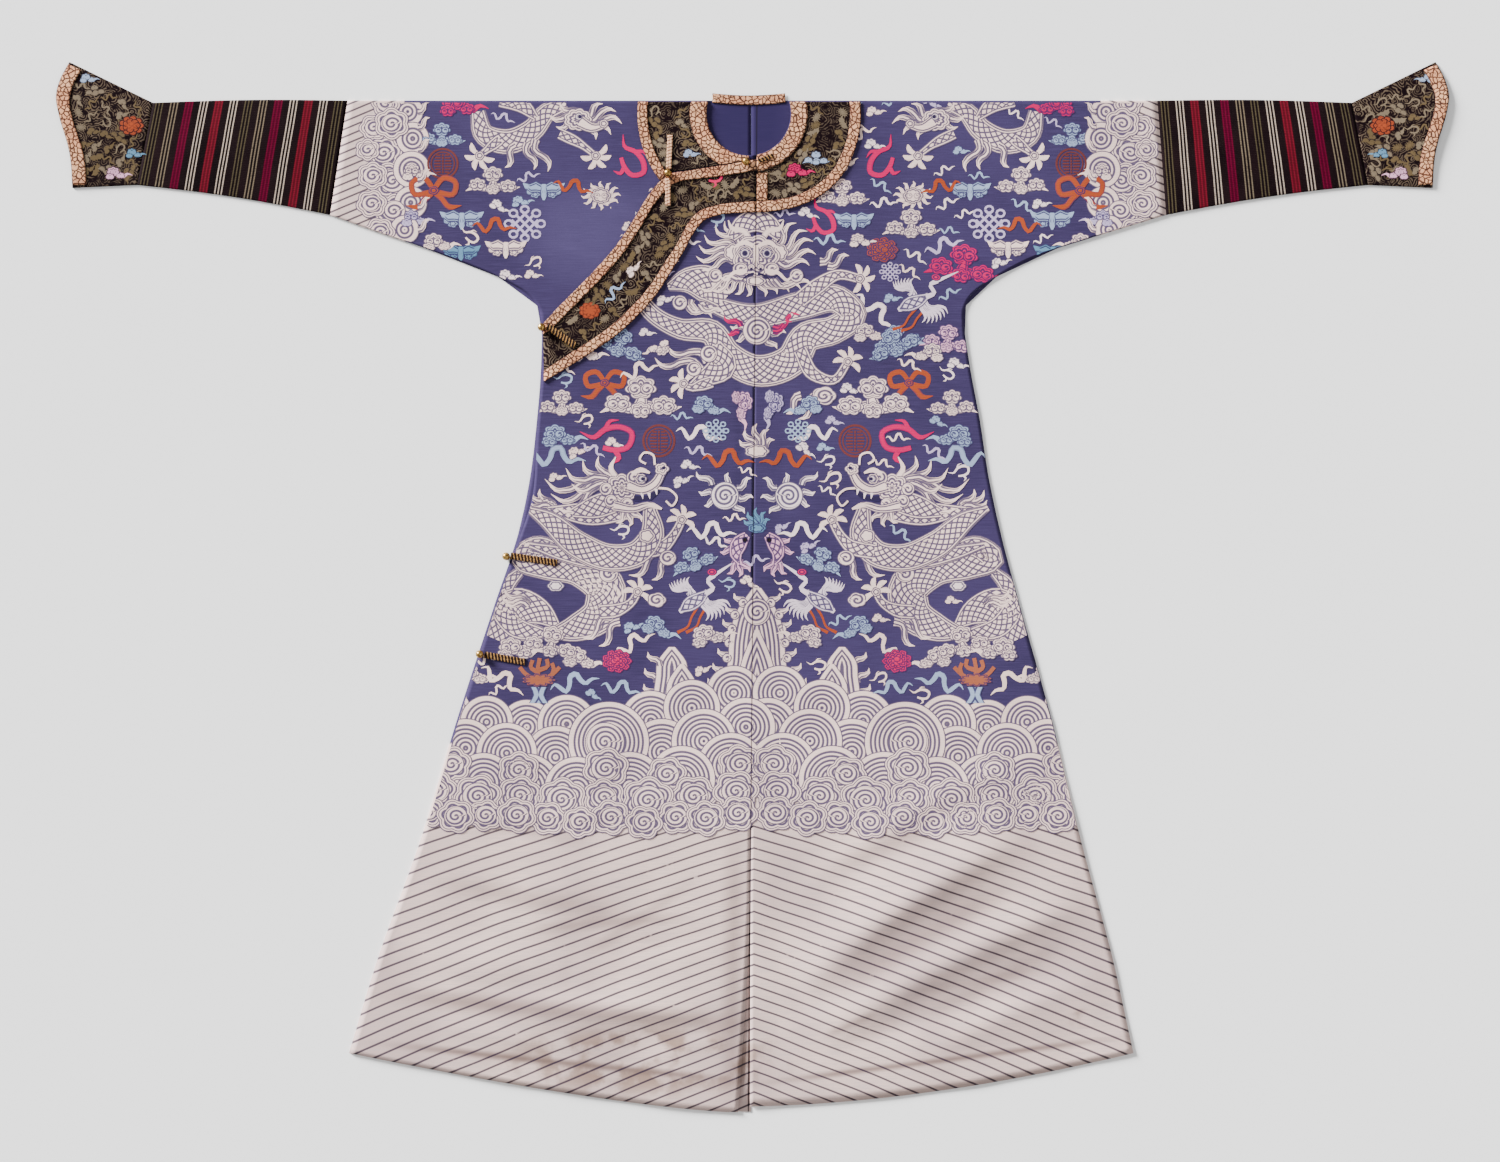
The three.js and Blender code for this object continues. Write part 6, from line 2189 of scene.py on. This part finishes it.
@dataclass
class TrimMotifs:
    """Small figures strewn over the dark facing, band and cuffs."""

    collar: Collar
    seed: int = 11
    size: float = 0.32
    cuff_heights: Spot = (113, 173)
    kinds: tuple[str, ...] = (
        "small_cloud", "scroll", "loop_scroll", "bat", "small_cloud", "cloud", "scroll", "rays",
    )
    tints: tuple[Tint, ...] = (Tint.GOLD, Tint.GREY)
    bright: tuple[tuple[str, Entry], ...] = (
        ("cuff", Entry("flower", 132, 126, 0.6, tint=Tint.ORANGE)),
        ("cuff", Entry("small_cloud", 134, 153, 0.42, tint=Tint.TEAL)),
        ("cuff", Entry("small_cloud", 116, 173, 0.55, tint=Tint.PINK)),
        ("cuff", Entry("small_cloud", 88, 78, 0.4, tint=Tint.PALE_BLUE)),
        ("facing_right", Entry("small_cloud", 690, 153, 0.36, tint=Tint.PALE_BLUE)),
        ("facing_left", Entry("small_cloud", 797, 170, 0.6, tint=Tint.MAGENTA)),
        ("facing_left", Entry("cloud", 816, 160, 0.4, tint=Tint.PALE_BLUE)),
        ("band_overlap", Entry("loop_scroll", 712, 178, 0.5, tint=Tint.ROSE)),
        ("band_overlap", Entry("small_cloud", 632, 270, 0.42, -50)),
        ("band_overlap", Entry("scroll", 615, 292, 0.5, -50, Tint.PALE_BLUE)),
        ("band_overlap", Entry("flower", 590, 311, 0.5, tint=Tint.ORANGE)),
    )

    def cuff_top(self, cuff: Cuff) -> Height:
        """The height of a cuff's front: the flat cuff's own s and t are found again from each place."""

        def top(x: Array, y: Array) -> Array:
            """The height at x and y."""
            out = x * cuff.side.value
            t = np.clip((CUFF_SEAM[1] - y) / (CUFF_SEAM[1] - CUFF_SEAM[3]), 0, 1)
            for _ in range(12):
                seam_x, seam_y = lerp(CUFF_SEAM[0], CUFF_SEAM[2], t), lerp(CUFF_SEAM[1], CUFF_SEAM[3], t)
                s = np.clip((out - seam_x) / (cuff.edge_x(t) - seam_x), 0, 1)
                miss = lerp(seam_y, cuff.edge_y(t), s) - y
                t = np.clip(t + miss / lerp(*self.cuff_heights, s), 0, 1)
            return UNDER_TOP + cuff.bulge(s, t)

        return top

    def places(self) -> list[tuple[Array, Array, Height, str]]:
        """Where the figures go on each trim, with the trim's height and the sheet that they lie on."""
        collar = self.collar
        band = collar.above(FORM.overlap_top, FACING)
        left, right = collar.above(FORM.left_top, FACING), collar.above(FORM.underlap_top, FACING)
        made = [
            (*collar.band_grid(28, -28, 2, 17.0), band, "band_overlap"),
            (*collar.left_grid(collar.constant(93), collar.drawn_in(25), 2, 15), left, "facing_left"),
            (*collar.right_grid(93, 129, 2, 8), right, "facing_right"),
        ]
        made = [(x[1:-1], y[1:-1], top, name) for x, y, top, name in made]
        for side in Side:
            cuff = Cuff(side)
            s, t = grid((0.14, 0.3, 0.46, 0.62, 0.76), (0.14, 0.26, 0.38, 0.5, 0.62, 0.74, 0.86))
            made.append((*cuff.place(s, t), self.cuff_top(cuff), f"cuff_{side.label}"))
        return made

    def build(self, materials: list[Material]) -> dict[str, Piece]:
        """Makes one mesh of figures for each trim, by the name of the sheet that it lies on."""
        rng = np.random.default_rng(self.seed)
        made = {}
        for xs, ys, top, name in self.places():
            brush = Brush()
            for x, y in zip(xs.ravel(), ys.ravel()):
                place = Place(*to_chart(x, y), self.size, rng.uniform(-70, 70))
                kind = self.kinds[rng.integers(len(self.kinds))]
                tint = self.tints[rng.integers(len(self.tints))]
                getattr(Motifs(), kind)(brush.at(place, 0.0, tint))
            for sheet, entry in self.bright:
                if name.startswith(sheet):
                    place = Place(entry.x, entry.y, entry.size, entry.turn, name == "cuff_left")
                    getattr(Motifs(), entry.kind)(brush.at(place, 5.0, entry.tint))
            made[name] = FloatMesh(f"figures_{name}", top).build(brush, materials)
        return made


ENTRIES = tuple(Entry(*row) for row in (
    ("cloud", 562, 406, 0.75), ("cloud", 641, 402, 1.2),
    ("small_cloud", 707, 405, 0.8, 10, Tint.PALE_BLUE), ("scroll", 700, 434, 0.8, 8, Tint.WHITE),
    ("small_cloud", 744, 405, 0.85, 80, Tint.PINK, False),
    ("small_cloud", 774, 406, 0.85, 100, Tint.LAVENDER, False), ("bow", 605, 384, 1, 0, Tint.ORANGE),
    ("cloud", 619, 346, 0.85, 20, Tint.PALE_BLUE), ("small_cloud", 585, 352, 0.8),
    ("small_cloud", 559, 435, 0.95, 0, Tint.PALE_BLUE), ("scroll", 557, 457, 1, 0, Tint.PALE_BLUE),
    ("loop_scroll", 610, 441, 1.15, 0, Tint.MAGENTA), ("medallion", 659, 441, 1, 0, Tint.MAROON),
    ("knot", 716, 431, 0.6, 0, Tint.PALE_BLUE), ("scroll", 729, 459, 0.9, 0, Tint.ORANGE),
    ("leaf_spray", 757, 443, 1.2, 0, Tint.CREAM, False), ("pearl", 725, 496, 1.1, 0, Tint.WHITE),
    ("scroll", 712, 531, 0.85, 0, Tint.WHITE), ("leaf_spray", 757, 522, 0.9, 0, Tint.TEAL, False),
    ("fish", 739, 552, 1, 0, Tint.PINK), ("cloud", 694, 562, 0.72, -20, Tint.PALE_BLUE),
    ("crane", 698, 598, 1.08, 0, Tint.LILAC), ("small_cloud", 658, 626, 0.85, 20, Tint.PALE_BLUE),
    ("small_cloud", 708, 634, 0.95, -10), ("scroll", 635, 642, 0.75, -30), ("cloud", 551, 645, 0.9, 10),
    ("small_cloud", 515, 648), ("small_cloud", 580, 657, 0.9, 10),
    ("flower", 617, 661, 0.72, 0, Tint.ROSE), ("scroll", 622, 688, 0.7, 8, Tint.PALE_BLUE),
    ("scroll", 575, 682, 0.85, -16, Tint.PALE_BLUE), ("scroll", 504, 680, 0.85, 30), ("coral", 539, 676),
    ("small_cloud", 472, 674, 0.9), ("small_cloud", 660, 350, 0.62, 160, Tint.CREAM, False),
    ("scroll", 640, 370, 0.7, -20, Tint.CREAM, False),
    ("small_cloud", 570, 335, 0.7, 0, Tint.MAGENTA, False),
    # The shoulders.
    ("small_cloud", 458, 104, 1, 0, Tint.MAGENTA), ("loop_scroll", 629, 160, 0.95, 60, Tint.MAGENTA),
    ("cloud", 442, 138, 0.7, 0, Tint.PALE_BLUE), ("medallion", 443, 164, 0.95, 0, Tint.MAROON),
    ("bow", 434, 192, 1.15, 0, Tint.ORANGE), ("cloud", 493, 184, 0.8),
    ("bat", 544, 192, 0.95, 0, Tint.PALE_BLUE), ("scroll", 574, 187, 0.7, 10, Tint.ORANGE),
    ("rays", 601, 196, 1.05), ("knot", 525, 224, 0.95, 0, Tint.LAVENDER),
    ("scroll", 495, 226, 0.75, 0, Tint.ORANGE), ("bat", 462, 221, 1, 0, Tint.PALE_BLUE),
    ("small_cloud", 437, 242, 0.8), ("bat", 506, 250, 0.95), ("bat", 461, 254, 0.9, 0, Tint.TEAL),
    ("small_cloud", 414, 218, 0.7, 0, Tint.LAVENDER), ("small_cloud", 415, 172, 0.7),
    # The left shoulder and chest only.
    ("cloud", 842, 196, 0.8, 0, Tint.CREAM, False),
    ("loop_scroll", 820, 219, 0.85, 60, Tint.MAGENTA, False),
    ("bat", 854, 222, 0.9, 0, Tint.PALE_BLUE, False),
    ("scroll", 830, 240, 0.55, 0, Tint.PALE_BLUE, False),
    ("cloud", 911, 227, 0.85, 0, Tint.CREAM, False), ("flower", 882, 250, 0.78, 0, Tint.ORANGE, False),
    ("knot", 890, 272, 0.5, 0, Tint.LAVENDER, False), ("cloud", 962, 268, 1.1, 8, Tint.MAGENTA, False),
    ("crane", 918, 300, 1.05, 10, Tint.LILAC, False), ("scroll", 876, 312, 0.9, 40, Tint.WHITE, False),
    ("small_cloud", 868, 332, 0.8, 0, Tint.CREAM, False),
    ("scroll", 944, 245, 0.7, -20, Tint.LAVENDER, False),
    ("cloud", 897, 342, 0.8, -16, Tint.PALE_BLUE, False), ("cloud", 947, 342, 0.8, 8, Tint.PINK, False),
    ("small_cloud", 860, 240, 0.6, 0, Tint.CREAM, False),
))


def draw_design(brush: Brush) -> None:
    """Draws every motif of the chart with the brush."""
    motifs = Motifs()
    for number, entry in enumerate(ENTRIES):
        for mirrored in (False, True)[: 1 + entry.both]:
            place = Place(entry.x, entry.y, entry.size, entry.turn, mirrored)
            getattr(motifs, entry.kind)(brush.at(place, 5.0 * (number % 3), entry.tint))
    dragons = Dragons(motifs)
    dragons.frontal(brush.at(Place()))
    for half in brush.both():
        dragons.rearing(half)
        dragons.shoulder(half)
    Waves(brush).draw()
    SleeveWaves(brush).draw()
    Fillers(brush).draw()


@dataclass
class Studio:
    """The camera straight above, the table and soft lights, brightest from the upper left."""

    focal: float = 70
    sensor: float = 36
    centre: tuple[float, float] = (-3.4, 8.2)
    field: float = 2061

    def camera(self) -> Piece:
        """The camera, as far up as makes the frame this many millimetres wide."""
        data = bpy.data.cameras.new("above")
        data.lens = self.focal
        data.sensor_width = self.sensor
        data.clip_end = 20
        camera = bpy.data.objects.new("above", data)
        height = self.field * MM * self.focal / self.sensor
        camera.location = (self.centre[0] * MM, self.centre[1] * MM, height)
        bpy.context.scene.collection.objects.link(camera)
        bpy.context.scene.camera = camera
        return camera

    def floor(self, material: Material, half: float = 4000) -> Piece:
        """The table's top."""
        x, y = np.meshgrid([-half, half], [-half, half])
        points = stacked(x, y, 0).reshape(-1, 3)
        return mesh_object("table", points, grid_faces(2, 2), [material])

    def light(self, name: str, place: tuple[float, float, float], spread: float, power: float) -> Piece:
        """A far, wide lamp that shines from a place to the middle of the robe, equally strong all over it.

        Args:
            name: its name.
            place: where it shines from.
            spread: how wide it looks, in degrees.
            power: its strength.

        Returns:
            The lamp.
        """
        data = bpy.data.lights.new(name, "SUN")
        data.angle = math.radians(spread)
        data.energy = power
        lamp = bpy.data.objects.new(name, data)
        lamp.location = place
        level = math.hypot(place[0], place[1])
        lamp.rotation_euler = (math.atan2(level, place[2]), 0, math.atan2(place[1], place[0]) + math.pi / 2)
        bpy.context.scene.collection.objects.link(lamp)
        return lamp

    def world(self, strength: float = 0.52) -> None:
        """A plain pale sky."""
        world = bpy.data.worlds.new("studio")
        world.use_nodes = True
        sky = world.node_tree.nodes["Background"]
        sky.inputs["Color"].default_value = (1, 1, 1, 1)
        sky.inputs["Strength"].default_value = strength
        bpy.context.scene.world = world

    def set_up(self) -> None:
        """Places everything that isn't the robe."""
        floor = self.floor(PaleFloor().make())
        lamps = [
            self.light("key", (-3.4, 2.8, 1.35), 20, 18.0),
            self.light("fill", (2.8, -1.6, 3.6), 60, 0.7),
        ]
        self.world()
        self.camera()


OLIVE = (68, 60, 44)
SILVER = (162, 146, 132)
ASH = (102, 90, 74)
CORAL = (98, 16, 32)
WINE = (84, 3, 34)
STRIPES_LEFT = (OLIVE, SILVER, CORAL, SILVER, WINE, ASH, OLIVE, SILVER, CORAL, SILVER, WINE, ASH, OLIVE)
STRIPES_RIGHT = (OLIVE, ASH, WINE, SILVER, CORAL, SILVER, OLIVE, ASH, WINE, SILVER, CORAL, SILVER, OLIVE)


def report(piece: Piece) -> None:
    """Logs a piece's name and its number of faces."""
    LOG.info("%s: %d faces", piece.name, len(piece.data.polygons))


def main() -> None:
    """Builds the robe, its table and the camera."""
    silk = GroundSilk().make()
    dark = Brocade().make()
    ribbon = CrackleRibbon().make()
    side_loop = LoopCloth().make()
    collar_loop = LoopCloth("collar_loop_cloth", srgb(214, 166, 130), srgb(120, 78, 60), 0.3).make()
    brass = OldBrass().make()
    stripes = {
        Side.LEFT: StripedSilk(STRIPES_LEFT, "striped_silk_left"),
        Side.RIGHT: StripedSilk(STRIPES_RIGHT, "striped_silk_right"),
    }
    sheets = [BodyLength(side).build(silk) for side in Side] + [Overlap().build(silk)]
    for side in Side:
        cuff = Cuff(side)
        sheets += [Sleeve(side).build(stripes[side].make()), cuff.build(dark), cuff.ribbon(ribbon)]
    sheets += Collar().sheets(dark, ribbon)
    closures = Closures()
    sheets += [closures.strip(row, collar_loop if "collar" in row.name else side_loop) for row in STRIP_ROWS]
    for sheet in sheets:
        piece = sheet.build()
        if sheet.name.startswith("body_"):
            NeckCutter().cut(piece)
        report(piece)
    design_brush = Brush()
    draw_design(design_brush)
    weaves = [FloatSilk(weave).make() for weave in Weave]
    figures = {"overlap_front": RobeFloats("woven_design").build(design_brush, weaves)}
    figures |= TrimMotifs(Collar()).build([FloatSilk(weave, Tint.INK).make() for weave in Weave])
    for figure in figures.values():
        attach(figure, BODY)
        report(figure)
    for sheet in sheets:
        sheet.declare([figures[sheet.name]] if sheet.name in figures else [])
    for row in BALLS:
        report(closures.ball(row, brass))
    Studio().set_up()


if __name__ == "__main__":
    logging.basicConfig(level=logging.INFO, format="%(message)s")
    main()
